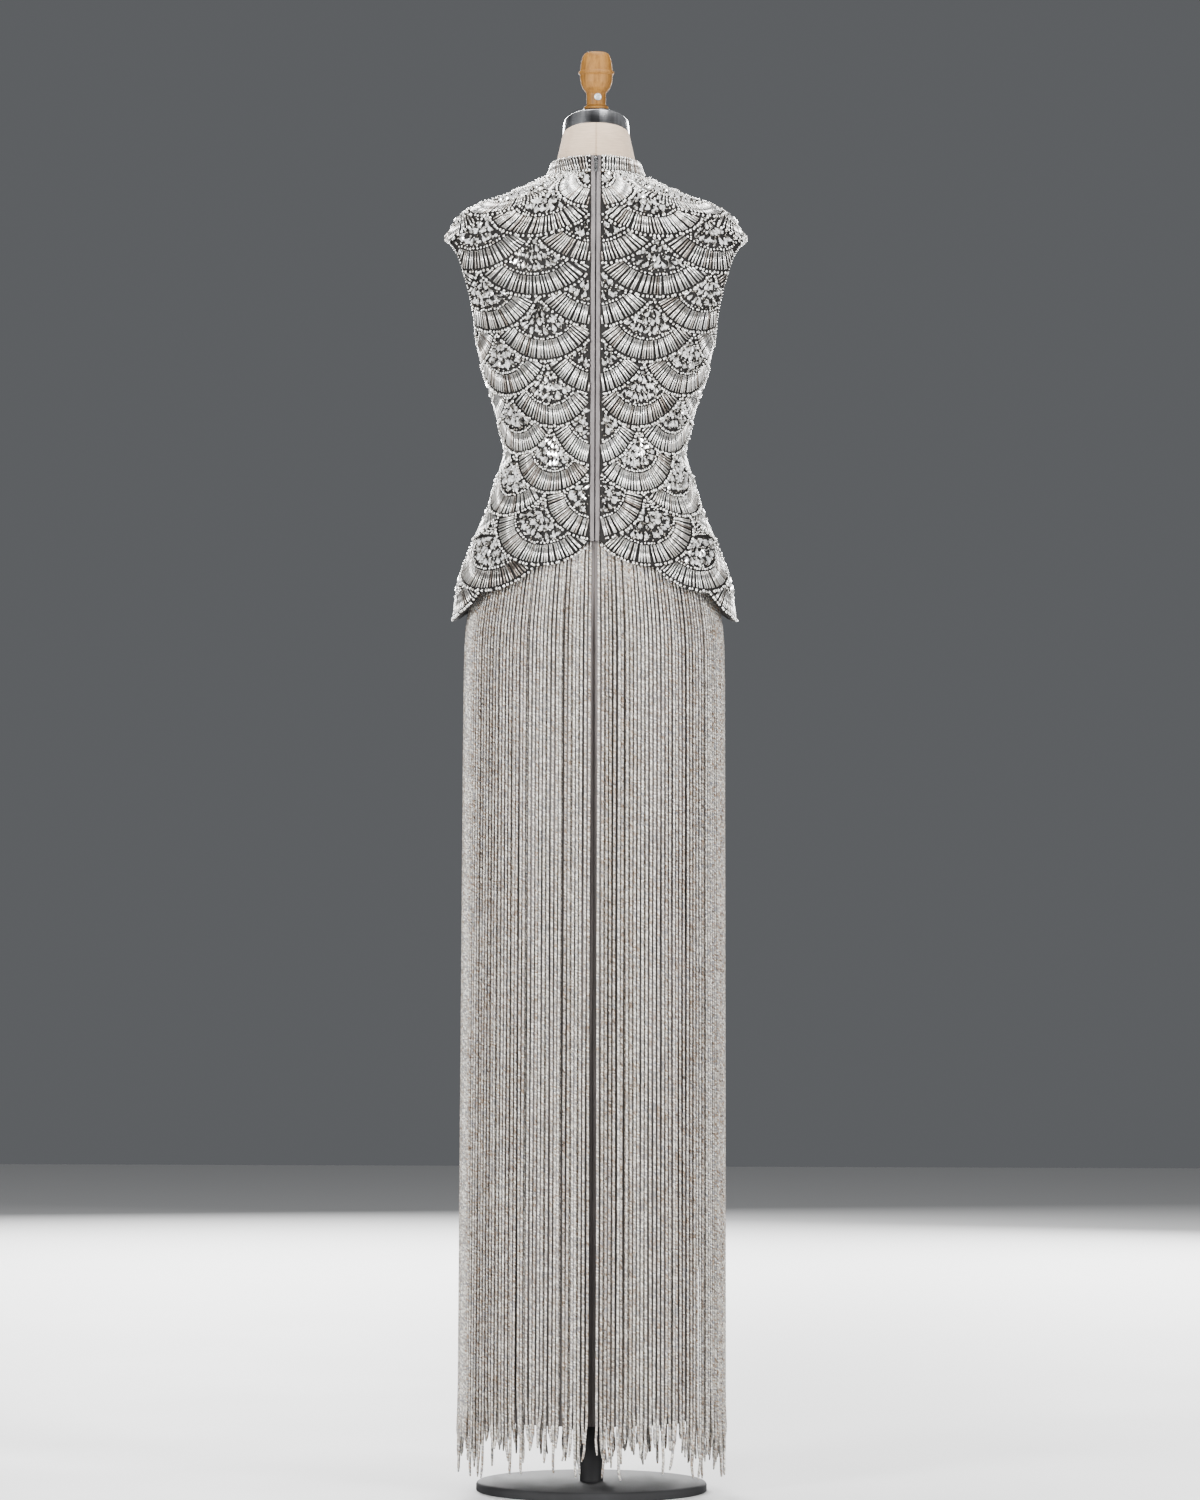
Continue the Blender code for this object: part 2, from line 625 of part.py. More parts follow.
def fringe_quarter(name, first, last, chance, finish):
    """A quarter of the fringe: three-sided strands fused at their roots into one narrow strip."""
    count = STRANDS // 4
    angles = strand_angles(first, last, count, chance)
    end = 0.3 * (angles[-1] - angles[0]) / (count - 1)
    edges = np.concatenate([[angles[0] - end], (angles[1:] + angles[:-1]) / 2, [angles[-1] + end]])
    total = len(UNDERSKIRT_RINGS)
    built = bmesh.new()

    def strip_corner(angle, level, depth):
        number = float(ring_at_height(underskirt_ring, total, level))
        point = oval(underskirt_ring, number, angle) + depth * np.array([math.sin(angle), -math.cos(angle), 0])
        point[2] = level
        return built.verts.new(point)

    bottom, top = STRIP_TOP - STRIP_HEIGHT, STRIP_TOP
    lean = STRIP_WALL + SEAM_GAP
    corners = [[strip_corner(a, bottom, SEAM_GAP + 0.1 * MM), strip_corner(a, bottom, lean),
                strip_corner(a, top, lean), strip_corner(a, top, SEAM_GAP + 0.1 * MM)] for a in edges]
    for a, b in zip(corners, corners[1:]):
        for k in (1, 2, 3):
            built.faces.new((a[k], a[(k + 1) % 4], b[(k + 1) % 4], b[k]))
    built.faces.new(corners[0])
    built.faces.new(corners[-1])
    for s, angle in enumerate(angles):
        radius = STRAND_RADIUS
        tip = chance.uniform(*STRAND_TIPS)
        line = strand_line(angle, tip, chance.uniform(-0.6, 0.6) * MM)
        out = np.array([math.sin(angle), -math.cos(angle), 0])
        along = np.array([math.cos(angle), math.sin(angle), 0])
        loops = []
        for place, point in enumerate(line):
            size = 0.75 * MM if place == 0 else radius
            loops.append([built.verts.new(point + size * shape) for shape in
                          (out, -0.5 * out + 0.866 * along, -0.5 * out - 0.866 * along)])
        for low, high in zip(loops, loops[1:]):
            for k in range(3):
                built.faces.new((low[k], low[(k + 1) % 3], high[(k + 1) % 3], high[k]))
        built.faces.new(loops[-1])
        root = loops[0]
        inner_a, outer_a = corners[s][0], corners[s][1]
        inner_b, outer_b = corners[s + 1][0], corners[s + 1][1]
        built.faces.new((outer_a, root[0], outer_b))
        built.faces.new((outer_b, root[0], root[1]))
        built.faces.new((outer_b, root[1], inner_b))
        built.faces.new((inner_b, root[1], root[2]))
        built.faces.new((inner_b, root[2], inner_a))
        built.faces.new((inner_a, root[2], outer_a))
        built.faces.new((outer_a, root[2], root[0]))
    finished(name, built, finish)


def fringe(finish):
    """Four groups of strands, parted at centre back, centre front and both sides."""
    chance = np.random.default_rng(7)
    centre, part = 0.075, 0.045
    fringe_quarter("fringe_back_right", centre, SIDE_UNIT - part, chance, finish)
    fringe_quarter("fringe_back_left", -centre, -SIDE_UNIT + part, chance, finish)
    fringe_quarter("fringe_front_right", SIDE_UNIT + part, HALF_TURN_UNITS - part, chance, finish)
    fringe_quarter("fringe_front_left", -SIDE_UNIT - part, -HALF_TURN_UNITS + part, chance, finish)


def form_rings():
    """Rings of points of the form, lowest first: hips in the underskirt, torso in the bodice, then the neck."""
    girths = np.arange(-HALF_TURN_UNITS, HALF_TURN_UNITS, 0.5)
    numbers = underskirt_numbers(FORM_HIP_LEVELS)
    points, normals = surface(underskirt_ring, numbers, [girths] * len(numbers))
    hips = points - normals * (CLOTH_WALL + FORM_CLEARANCE["hips"])
    foot = hips[0] * np.array([0.92, 0.92, 1]) - np.array([0, 0, FORM_HIP_LEVELS[0] * MM - FORM_FOOT])
    numbers = list(range(WAIST_RING, len(BODICE_RINGS)))
    torso, normals = surface(bodice_ring, numbers, [girths] * len(numbers))
    for row, number in enumerate(numbers):
        clear = FORM_CLEARANCE["torso" if number < SHOULDER_TIP_RING else "shoulders"]
        torso[row] -= normals[row] * (CLOTH_WALL + clear)
        half = bodice_ring(float(number))[3]
        torso[row, :, 0] *= min(1, FORM_SIDES.get(number, 1000) * MM / half)
    neck = [oval(lambda _, row=row: np.array(row) * MM, 0.0, angle_of_girth(bodice_ring, 21, girths))
            for row in NECK_RINGS]
    return np.concatenate([[foot], hips, torso, neck])


def dress_form(linen):
    """Linen-covered torso with its neck, whole and smooth, closed at the hips."""
    built = bmesh.new()
    loops = [[built.verts.new(p) for p in ring] for ring in form_rings()]
    sides = len(loops[0])
    for low, high in zip(loops, loops[1:]):
        for s in range(sides):
            built.faces.new((low[s], low[(s + 1) % sides], high[(s + 1) % sides], high[s]))
    built.faces.new(loops[0][::-1])
    built.faces.new(loops[-1])
    finished("form_torso", built, linen, 60)


def neck_cap_and_knob(steel, wood):
    """Steel neck plate that leans forward with the neck, and the upright wooden knob with its locking screw."""
    lean = Matrix.Translation(CAP_CENTRE) @ Matrix.Rotation(-CAP_LEAN, 4, "X")
    lift = 0.4 * MM
    profile = ((lift, CAP_RADIUS), (lift + 0.8 * CAP_HEIGHT, CAP_RADIUS - 1.0 * MM),
               (lift + 0.93 * CAP_HEIGHT, CAP_RADIUS - 3.0 * MM), (lift + CAP_HEIGHT, CAP_RADIUS - 7 * MM))
    cap = turned("form_neck_cap", profile, steel, 28, lean)
    seat = lean @ Vector((0, 0, lift + CAP_HEIGHT))
    knob_y = seat.y
    foot = seat.z + KNOB_LIFT
    boss = turned("boss", ((-10 * MM, 17.5 * MM), (foot - seat.z - SEAM_GAP, 17.5 * MM)), steel, 18,
                  Matrix.Translation(Vector((0, knob_y, seat.z))))
    combine(cap, boss, "UNION")
    profile = [(z * MM, r * MM) for z, r in FINIAL_PROFILE]
    turned("form_knob", profile, wood, 18, Matrix.Translation(Vector((0, knob_y, foot))))
    tilt = Matrix.Translation(Vector((2 * MM, knob_y - 12.45 * MM - SEAM_GAP, foot + 15 * MM)))
    tilt = tilt @ Matrix.Rotation(math.pi / 2, 4, "X")
    turned("form_knob_screw", ((0, 4.7 * MM), (1.8 * MM, 4.7 * MM), (2.6 * MM, 3.7 * MM)), steel, 14, tilt)


def stand(metal):
    """Pole under the form and a low round base, clear of the strands' tips."""
    turned("stand_base", ((0, BASE_RADIUS), (BASE_HEIGHT - 4 * MM, BASE_RADIUS),
                          (BASE_HEIGHT, BASE_RADIUS - 5 * MM)), metal, 40)
    turned("stand_pole", ((BASE_HEIGHT + SEAM_GAP, POLE_RADIUS), (FORM_FOOT - SEAM_GAP, POLE_RADIUS)), metal, 20)


def build():
    """Makes the whole part."""
    clear_scene()
    beading = material("silver_beading", (0.62, 0.61, 0.58), 0.3, 0.7)
    fringe_beads = material("silver_fringe", (0.6, 0.58, 0.54), 0.4, 0.5)
    crepe = material("mauve_grey_crepe", (0.24, 0.22, 0.22), 0.8)
    zip_tape = material("zip_tape", (0.27, 0.25, 0.26), 0.7)
    zip_coil = material("zip_coil", (0.12, 0.11, 0.12), 0.5)
    silver = material("silvered_metal", (0.7, 0.7, 0.7), 0.25, 1.0)
    steel = material("brushed_steel", (0.55, 0.56, 0.57), 0.3, 1.0)
    linen = material("form_linen", (0.72, 0.66, 0.58), 0.85)
    wood = material("turned_wood", (0.52, 0.35, 0.17), 0.5)
    metal = material("black_metal", (0.03, 0.03, 0.03), 0.5, 0.2)
    bodice_panels(beading)
    collar(beading)
    closure(zip_tape, zip_coil)
    slider_and_pull(silver)
    underskirt(crepe)
    fringe(fringe_beads)
    dress_form(linen)
    neck_cap_and_knob(steel, wood)
    stand(metal)


build()
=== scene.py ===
import math

import bpy
import numpy as np
from mathutils import Matrix, Vector


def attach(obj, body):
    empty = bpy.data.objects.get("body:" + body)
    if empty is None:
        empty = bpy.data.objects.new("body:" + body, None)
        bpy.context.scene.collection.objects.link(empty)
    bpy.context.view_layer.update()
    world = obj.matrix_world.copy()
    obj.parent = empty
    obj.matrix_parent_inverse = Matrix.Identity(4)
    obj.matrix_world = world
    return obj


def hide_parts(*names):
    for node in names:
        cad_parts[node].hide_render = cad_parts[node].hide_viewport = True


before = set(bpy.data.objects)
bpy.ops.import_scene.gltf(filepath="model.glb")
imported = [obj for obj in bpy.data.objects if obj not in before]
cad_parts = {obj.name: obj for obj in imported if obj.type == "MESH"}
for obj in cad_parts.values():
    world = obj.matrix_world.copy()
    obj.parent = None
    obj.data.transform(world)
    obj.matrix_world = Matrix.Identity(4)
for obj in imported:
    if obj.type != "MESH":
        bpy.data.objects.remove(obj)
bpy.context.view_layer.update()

# Camera: level with the middle of the dress and far off, as the photo's straight sides show.
# A photo pixel is 1.3 mm at the dress. The floor and the dress's centre line lie at the two named pixels.
MM = 0.001
PIXEL = 1.3 * MM
PHOTO_WIDTH, PHOTO_HEIGHT = 1200, 1500
FLOOR_PIXEL = 1490
CENTRE_PIXEL = 594
CAMERA_DISTANCE = 9.0
CAMERA_ROLL = math.radians(0.2)
SENSOR = 36

camera_data = bpy.data.cameras.new("camera")
camera = bpy.data.objects.new("camera", camera_data)
bpy.context.scene.collection.objects.link(camera)
camera.location = ((PHOTO_WIDTH / 2 - CENTRE_PIXEL) * PIXEL, -CAMERA_DISTANCE,
                   (FLOOR_PIXEL - PHOTO_HEIGHT / 2) * PIXEL)
camera.rotation_euler = Matrix.Rotation(math.pi / 2, 3, "X").to_euler()
camera.rotation_euler.rotate_axis("Z", CAMERA_ROLL)
camera_data.lens = SENSOR * CAMERA_DISTANCE / (PHOTO_HEIGHT * PIXEL)
camera_data.clip_end = 60
bpy.context.scene.camera = camera

# Light: a pale world, a broad lamp on each side of the camera, one over it, one above the dress, and
# two beyond the dress that light its far side.
WORLD_COLOUR = (0.62, 0.64, 0.67, 1)
WORLD_STRENGTH = 0.2
# Columns: name, place in metres, watts, width and height in metres
LAMPS = (
    ("key", (-3.7, -4.2, 2.0), 340, 1.2, 2.8),
    ("fill", (3.9, -3.6, 1.8), 260, 1.1, 2.8),
    ("top", (0.2, 0.3, 4.8), 130, 2.2, 1.2),
    ("centre", (-0.6, -6.2, 4.4), 100, 0.8, 1.2),
    ("front", (-0.9, 4.8, 2.2), 300, 1.4, 2.4),
    ("front_side", (1.3, 4.6, 1.8), 160, 1.0, 2.4),
)
LAMPS_AIM = Vector((0, 0, 1.0))

world = bpy.data.worlds.new("studio")
world.use_nodes = True
world.node_tree.nodes["Background"].inputs["Color"].default_value = WORLD_COLOUR
world.node_tree.nodes["Background"].inputs["Strength"].default_value = WORLD_STRENGTH
bpy.context.scene.world = world
bpy.context.scene.view_settings.look = "AgX - Medium High Contrast"
for name, place, watts, width, height in LAMPS:
    lamp = bpy.data.lights.new(name, "AREA")
    lamp.shape = "RECTANGLE"
    lamp.size, lamp.size_y, lamp.energy = width, height, watts
    holder = bpy.data.objects.new(name, lamp)
    holder.location = place
    holder.rotation_euler = (LAMPS_AIM - Vector(place)).to_track_quat("-Z", "Y").to_euler()
    bpy.context.scene.collection.objects.link(holder)

# Dress form's torso and neck: a padded shell covered with linen, sewn with a seam down the centre back.
# It is whole and smooth under the gown, which hangs on it, and closed at the hips. Its surface follows
# the gown's own rings, a cloth's thickness and a small clearance further in.
GOWN = "gown_on_form"
CLOTH_WALL = 1.5 * MM
HIP_CLEARANCE = 0.8 * MM
FORM_HIP_LEVELS = (1034, 1050, 1118, 1160, 1200, 1240, 1280, 1318)
FORM_HIP_ROWS = 22
FORM_FOOT = 1022 * MM
FOOT_SHARE = 0.92
FORM_COLUMNS = 96
NECK_ROWS = 16
# The form's half widths by ring number, in millimetres, where the armholes leave it bare
FORM_SIDES = {11: 154, 12: 151, 13: 152, 14: 151, 15: 149, 16: 146, 17: 141, 18: 132, 19: 116, 20: 88}
LINEN_THREADS = 5200
SEAM_FALL_OFF = 900000
LINEN_COLOURS = ((0.2, (0.50, 0.375, 0.275)), (0.55, (0.71, 0.565, 0.435)), (0.8, (0.81, 0.67, 0.535)))
# Rings of the gown's bodice and of its underskirt, as in the frame's solids. Columns: height at the side,
# rise at centre back, rise at centre front, half width, depth behind, depth in front, in millimetres
BODICE_RINGS = (
    (1100, 0, 0, 182, 122, 116),
    (1131, 0, 0, 181, 121, 115),
    (1170, 0, 0, 177, 118, 113),
    (1209, 0, 0, 163, 110, 107),
    (1248, 0, 0, 149, 101, 100),
    (1287, 0, 0, 132, 90, 94),
    (1326, 0, 0, 121, 83, 90),
    (1352, 0, 0, 115, 80, 88),
    (1378, 0, 0, 120, 81, 91),
    (1417, 0, 0, 132, 86, 100),
    (1456, 0, 0, 143, 92, 114),
    (1495, 0, 0, 154, 98, 124),
    (1534, 0, 0, 171, 102, 124),
    (1573, 0, 0, 187, 104, 114),
    (1605, 0, -1, 194, 102, 101),
    (1625, 0, -2, 195, 97, 90),
    (1638, 1, -4, 186, 92, 82),
    (1651, 3, -8, 178, 87, 75),
    (1664, 6, -12, 155, 81, 68),
    (1677, 7, -16, 121, 74, 61),
    (1690, 8, -19, 88, 67, 55),
    (1700, 9, -20, 65, 60, 50),
)
TOP_RING = len(BODICE_RINGS) - 1
WAIST_RING = 7
SHOULDER_TIP_RING = 15
NECK_RINGS = (
    (1710, 15, -18, 54.5, 50, 44),
    (1729, 15, -18, 50.5, 45, 44),
    (1745.5, 14.5, -17.5, 46.8, 40, 44.5),
    (1761, 13.7, -17.5, 43.3, 35.6, 45.4),
)
# Columns: height, half width, depth behind, depth in front
UNDERSKIRT_RINGS = (
    (91, 125, 92, 88),
    (400, 144, 102, 94),
    (800, 161, 110, 101),
    (1050, 165, 112, 103),
    (1118, 162, 111, 102),
    (1170, 155, 107, 100),
    (1209, 147, 102, 97.5),
    (1248, 138, 96, 95),
    (1287, 128, 87.5, 91.5),
    (1325, 117.5, 79.5, 86.5),
)
# Girth is counted in units: three from centre back to the side seam, six to centre front
HALF_TURN_UNITS = 6
SIDE_UNIT = 3


class Socket:
    """A shader node's output. Sums and products of it make maths nodes, and `node` makes any other node."""

    def __init__(self, tree, output):
        self.tree = tree
        self.output = output

    def node(self, kind, *inputs, out=0, **settings):
        made = self.tree.nodes.new(kind)
        for name, value in settings.items():
            setattr(made, name, value)
        for socket, value in zip(made.inputs, inputs):
            if isinstance(value, Socket):
                self.tree.links.new(value.output, socket)
            elif value is not None:
                socket.default_value = value
        return Socket(self.tree, made.outputs[out])

    def maths(self, operation, other=None):
        return self.node("ShaderNodeMath", self, other, operation=operation)

    def part(self, axis):
        """One coordinate of a vector: 0, 1 or 2 for X, Y or Z."""
        return self.node("ShaderNodeSeparateXYZ", self, out=axis)

    def __add__(self, other):
        return self.maths("ADD", other)

    def __sub__(self, other):
        return self.maths("SUBTRACT", other)

    def __rsub__(self, other):
        return self.node("ShaderNodeMath", other, self, operation="SUBTRACT")

    def __mul__(self, other):
        return self.maths("MULTIPLY", other)

    __radd__, __rmul__ = __add__, __mul__

    def ramp(self, *stops):
        """Colour read from this value: each stop is (value, colour)."""
        made = self.node("ShaderNodeValToRGB", self)
        elements = made.output.node.color_ramp.elements
        for index, (place, colour) in enumerate(stops):
            element = elements[index] if index < 2 else elements.new(place)
            element.position = place
            element.color = (*colour, 1)
        return made


def material(name, colour, roughness, metallic=0.0, **uniform):
    """A Principled finish, its shader node, and the object coordinates to build its pattern from."""
    made = bpy.data.materials.new(name)
    made.use_nodes = True
    shader = made.node_tree.nodes["Principled BSDF"]
    shader.inputs["Base Color"].default_value = (*colour, 1)
    shader.inputs["Roughness"].default_value = roughness
    shader.inputs["Metallic"].default_value = metallic
    for key, value in uniform.items():
        shader.inputs[key.replace("_", " ").title()].default_value = value
    place = made.node_tree.nodes.new("ShaderNodeTexCoord").outputs["Object"]
    return made, shader, Socket(made.node_tree, place)


def wire(shader, name, value):
    """Feeds a varying value to one of the shader's sockets."""
    value.tree.links.new(value.output, shader.inputs[name])


def bump(shader, height, distance, strength=1.0):
    """Raises the surface by a pattern's height, in metres."""
    made = height.node("ShaderNodeBump", strength, distance)
    made.tree.links.new(height.output, made.output.node.inputs["Height"])
    wire(shader, "Normal", made)


def stretched(place, x, y, z):
    """Coordinates scaled by a different amount along each axis."""
    return place.node("ShaderNodeVectorMath", place, (x, y, z), operation="MULTIPLY")


def noise(place, scale, detail=2.0, roughness=0.5):
    """Soft noise, about 0 to 1."""
    made = place.node("ShaderNodeTexNoise", place)
    made.output.node.inputs["Scale"].default_value = scale
    made.output.node.inputs["Detail"].default_value = detail
    made.output.node.inputs["Roughness"].default_value = roughness
    return made


def make_object(name, points, faces, finish, smooth=True, uv=None, numbers=()):
    """A mesh piece from arrays of points and faces. uv holds a pair for each point, and each of the numbers
    is a name with a value for each face."""
    mesh = bpy.data.meshes.new(name)
    mesh.from_pydata(np.asarray(points).reshape(-1, 3).tolist(), [], [list(f) for f in faces])
    even = np.broadcast_to(np.asarray(smooth, bool), len(mesh.polygons)).copy()
    mesh.polygons.foreach_set("use_smooth", even)
    if uv is not None:
        corners = np.zeros(len(mesh.loops), int)
        mesh.loops.foreach_get("vertex_index", corners)
        mesh.uv_layers.new(name="map").data.foreach_set("uv", np.asarray(uv)[corners].ravel())
    for label, values in numbers:
        mesh.attributes.new(label, "FLOAT", "FACE").data.foreach_set("value", np.asarray(values, float))
    mesh.materials.append(finish)
    mesh.update()
    made = bpy.data.objects.new(name, mesh)
    bpy.context.scene.collection.objects.link(made)
    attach(made, GOWN)
    return made


def grid_faces(rows, columns, start=0, around=False):
    """Faces of a grid of points stored row by row. around joins the last column to the first."""
    r, c = np.meshgrid(np.arange(rows - 1), np.arange(columns if around else columns - 1), indexing="ij")
    after = (c + 1) % columns
    low, high = start + r * columns, start + (r + 1) * columns
    return np.stack([low + c, low + after, high + after, high + c], axis=-1).reshape(-1, 4)


def smooth_table(table):
    """Reads a table of rings at any ring number: a cubic through its rows, whose slope at a row is the
    harmonic mean of the steps on both sides, so that it doesn't overshoot."""
    values = np.array(table, float) * MM
    steps = np.diff(values, axis=0)
    slopes = np.zeros_like(values)
    inner = steps[:-1] * steps[1:]
    slopes[1:-1] = np.where(inner > 0, 2 * inner / np.where(inner > 0, steps[:-1] + steps[1:], 1), 0)
    slopes[0], slopes[-1] = steps[0], steps[-1]

    def read(ring):
        ring = np.clip(np.asarray(ring, float), 0, len(values) - 1)
        low = np.minimum(ring.astype(int), len(values) - 2)
        share = (ring - low)[..., None]
        a, b = values[low], values[low + 1]
        return ((1 + 2 * share) * (1 - share) ** 2 * a + share * (1 - share) ** 2 * slopes[low]
                + share ** 2 * (3 - 2 * share) * b + share ** 2 * (share - 1) * slopes[low + 1])

    return read


def ring_at_height(ring, count, height):
    """The ring number at which the side of a surface has this height."""
    numbers = np.linspace(0, count - 1, 60 * count)
    return np.interp(height, ring(numbers)[:, 0], numbers)


def oval(ring, number, angle):
    """Point of a ring of half width a and depths b and c at an angle from centre back that grows towards
    +X: x = a sin, y = -b cos behind and -c cos in front, and the rise grows with |cos|."""
    side, rise_back, rise_front, half, behind, before = np.moveaxis(ring(number), -1, 0)
    cosine, sine = np.cos(angle), np.sin(angle)
    back = cosine > 0
    depth = np.where(back, behind, before)
    rise = np.where(back, rise_back, rise_front)
    return np.stack(np.broadcast_arrays(half * sine, -depth * cosine, side + rise * np.abs(cosine)), axis=-1)


def angle_of_girth(ring, number, girth):
    """The angle at which a share of the way round is reached. A quarter turn is three units of girth."""
    angles = np.linspace(0, math.pi, 181)
    points = oval(ring, np.full(angles.shape, float(number)), angles)
    lengths = np.concatenate([[0], np.cumsum(np.linalg.norm(np.diff(points, axis=0), axis=1))])
    side = lengths[90]
    units = np.where(lengths <= side, SIDE_UNIT * lengths / side,
                     SIDE_UNIT + SIDE_UNIT * (lengths - side) / (lengths[-1] - side))
    girth = np.asarray(girth, float)
    beyond = np.abs(girth) > HALF_TURN_UNITS
    found = np.interp(np.where(beyond, 2 * HALF_TURN_UNITS - np.abs(girth), np.abs(girth)), units, angles)
    return np.sign(girth) * np.where(beyond, 2 * math.pi - found, found)


def outward(ring, numbers, angles):
    """Unit normals that point out of a surface: the cross product of its slopes along and up the rings."""
    step = 0.01
    across = oval(ring, numbers, angles + step) - oval(ring, numbers, angles - step)
    up = oval(ring, numbers + 4 * step, angles) - oval(ring, numbers - 4 * step, angles)
    normal = np.cross(across, up)
    return normal / np.linalg.norm(normal, axis=-1, keepdims=True)


def surface(ring, numbers, girths):
    """Grids of points and of their normals: a row for each ring number, a column for each of its girths."""
    angles = np.array([angle_of_girth(ring, n, g) for n, g in zip(numbers, girths)])
    numbers = np.repeat(np.asarray(numbers, float)[:, None], angles.shape[1], 1)
    return oval(ring, numbers, angles), outward(ring, numbers, angles)


bodice_ring = smooth_table(BODICE_RINGS)
underskirt_ring = smooth_table([(z, 0, 0, *rest) for z, *rest in UNDERSKIRT_RINGS])
neck_ring = smooth_table(NECK_RINGS)

linen, shader, place = material("form_linen", (0.72, 0.66, 0.57), 0.86, sheen_weight=0.25)
across, up = place.part(0), place.part(2)
weave = (across * LINEN_THREADS).maths("SINE") * (up * LINEN_THREADS).maths("SINE")
cloud = noise(place, 22, 4)
slub = noise(stretched(place, 1, 1, 14), 70, 3)
seam = (across * across * -SEAM_FALL_OFF).maths("EXPONENT")
wire(shader, "Base Color", (cloud * 0.45 + slub * 0.55 - seam * 0.28).ramp(*LINEN_COLOURS))
bump(shader, weave * 0.5 + slub * 0.8 - seam * 2, 0.0003, 0.7)

form_girths = np.linspace(-HALF_TURN_UNITS, HALF_TURN_UNITS, FORM_COLUMNS, endpoint=False)
levels = np.interp(np.linspace(0, len(FORM_HIP_LEVELS) - 1, FORM_HIP_ROWS), range(len(FORM_HIP_LEVELS)),
                   FORM_HIP_LEVELS)
hip_numbers = [float(ring_at_height(underskirt_ring, len(UNDERSKIRT_RINGS), z * MM)) for z in levels]
points, normals = surface(underskirt_ring, hip_numbers, [form_girths] * len(hip_numbers))
hips = points - normals * (CLOTH_WALL + HIP_CLEARANCE)
foot = hips[0] * np.array([FOOT_SHARE, FOOT_SHARE, 1]) - np.array([0, 0, FORM_HIP_LEVELS[0] * MM - FORM_FOOT])
torso_numbers = np.arange(WAIST_RING, TOP_RING + 0.01, 1 / 3)
torso, normals = surface(bodice_ring, torso_numbers, [form_girths] * len(torso_numbers))
clearance = np.interp(torso_numbers, (SHOULDER_TIP_RING - 1, SHOULDER_TIP_RING), (1.3, 0.6))
torso -= normals * (CLOTH_WALL + clearance[:, None, None] * MM)
bare = np.interp(torso_numbers, list(FORM_SIDES), list(FORM_SIDES.values())) * MM
torso[..., 0] *= np.minimum(1, bare / bodice_ring(torso_numbers)[:, 3])[:, None]
neck_numbers = np.linspace(0, len(NECK_RINGS) - 1, NECK_ROWS)
neck = oval(neck_ring, neck_numbers[:, None], angle_of_girth(bodice_ring, TOP_RING, form_girths)[None, :])
rows = np.concatenate([[foot], hips, torso, neck])
faces = [list(f) for f in grid_faces(len(rows), FORM_COLUMNS, around=True)]
faces.append(list(range(FORM_COLUMNS))[::-1])
faces.append(list(range((len(rows) - 1) * FORM_COLUMNS, len(rows) * FORM_COLUMNS)))
torso_piece = make_object("linen_torso", rows, faces, linen)
torso_piece.data.set_sharp_from_angle(angle=math.radians(50))
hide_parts("form_torso")

# Neck cap: a turned cap of brushed steel that closes the form's neck and leans back with its end, and an
# upright steel boss that stands on it and goes up into the knob.
CAP_LEAN = math.radians(21)
CAP_RADIUS = 43.5 * MM
CAP_HEIGHT = 22 * MM
CAP_GAP = 0.4 * MM
NECK_END = (0, 5 * MM, 1759.3 * MM)
BOSS_RADIUS = 17.5 * MM
BOSS_RISE = 16.1 * MM
# How fast the painted dark reflection down the middle of the steel, at x = 0, fades out to the sides
PAINTED_REFLECTION_FALL_OFF = 4500
STEEL_REFLECTION_COLOURS = ((0.12, (0.10, 0.10, 0.105)), (0.45, (0.40, 0.40, 0.41)), (0.62, (0.90, 0.90, 0.91)))
# Columns: share of the cap's height, and how far the edge has drawn in, in millimetres
CAP_PROFILE = ((0, 0.6), (0.6 / 22, 0), (0.8, 1.0), (0.88, 1.8), (0.95, 3.6), (0.99, 6.4), (1, 9))


def lathe(name, profile, finish, sides=72, place=Matrix.Identity(4), step=0):
    """Turned piece: its rows of (height, radius) carried round Z. step rounds the profile first, with points
    that far apart, each moved twice to the mean of itself and its neighbours."""
    rows = np.array(profile, float)
    if step:
        run = np.concatenate([[0], np.cumsum(np.hypot(*np.diff(rows, axis=0).T))])
        along = np.arange(0, run[-1], step)
        rows = np.stack([np.interp(along, run, rows[:, k]) for k in (0, 1)], axis=1)
        for _ in range(2):
            rows[1:-1] = (rows[:-2] + 2 * rows[1:-1] + rows[2:]) / 4
    angles = np.linspace(0, 2 * math.pi, sides, endpoint=False)
    points = np.stack(np.broadcast_arrays(rows[:, 1:] * np.cos(angles), rows[:, 1:] * np.sin(angles),
                                          rows[:, :1]), axis=-1).reshape(-1, 3)
    turn = np.array(place.to_3x3())
    points = points @ turn.T + np.array(place.translation)
    faces = [list(f) for f in grid_faces(len(rows), sides, around=True)]
    faces.append(list(range(sides))[::-1])
    faces.append(list(range((len(rows) - 1) * sides, len(rows) * sides)))
    made = make_object(name, points, faces, finish)
    made.data.set_sharp_from_angle(angle=math.radians(35))
    return made


steel, shader, place = material("brushed_steel", (0.58, 0.59, 0.60), 0.3, 1.0)
brushing = noise(stretched(place, 3, 3, 260), 8, 4, 0.7)
smear = noise(place, 30, 3)
# Painted reflections: streaks up the steel, and a dark strip down its middle at x = 0 between bright flanks
painted_reflection_streaks = noise(stretched(place, 1, 0.3, 0.02), 75, 2, 0.6)
middle = (place.part(0) * place.part(0) * -PAINTED_REFLECTION_FALL_OFF).maths("EXPONENT")
wire(shader, "Base Color", (painted_reflection_streaks + brushing * 0.12 - middle * 0.42).ramp(*STEEL_REFLECTION_COLOURS))
wire(shader, "Roughness", brushing * 0.2 + smear * 0.15 + 0.14)
bump(shader, brushing, 0.00012, 0.6)

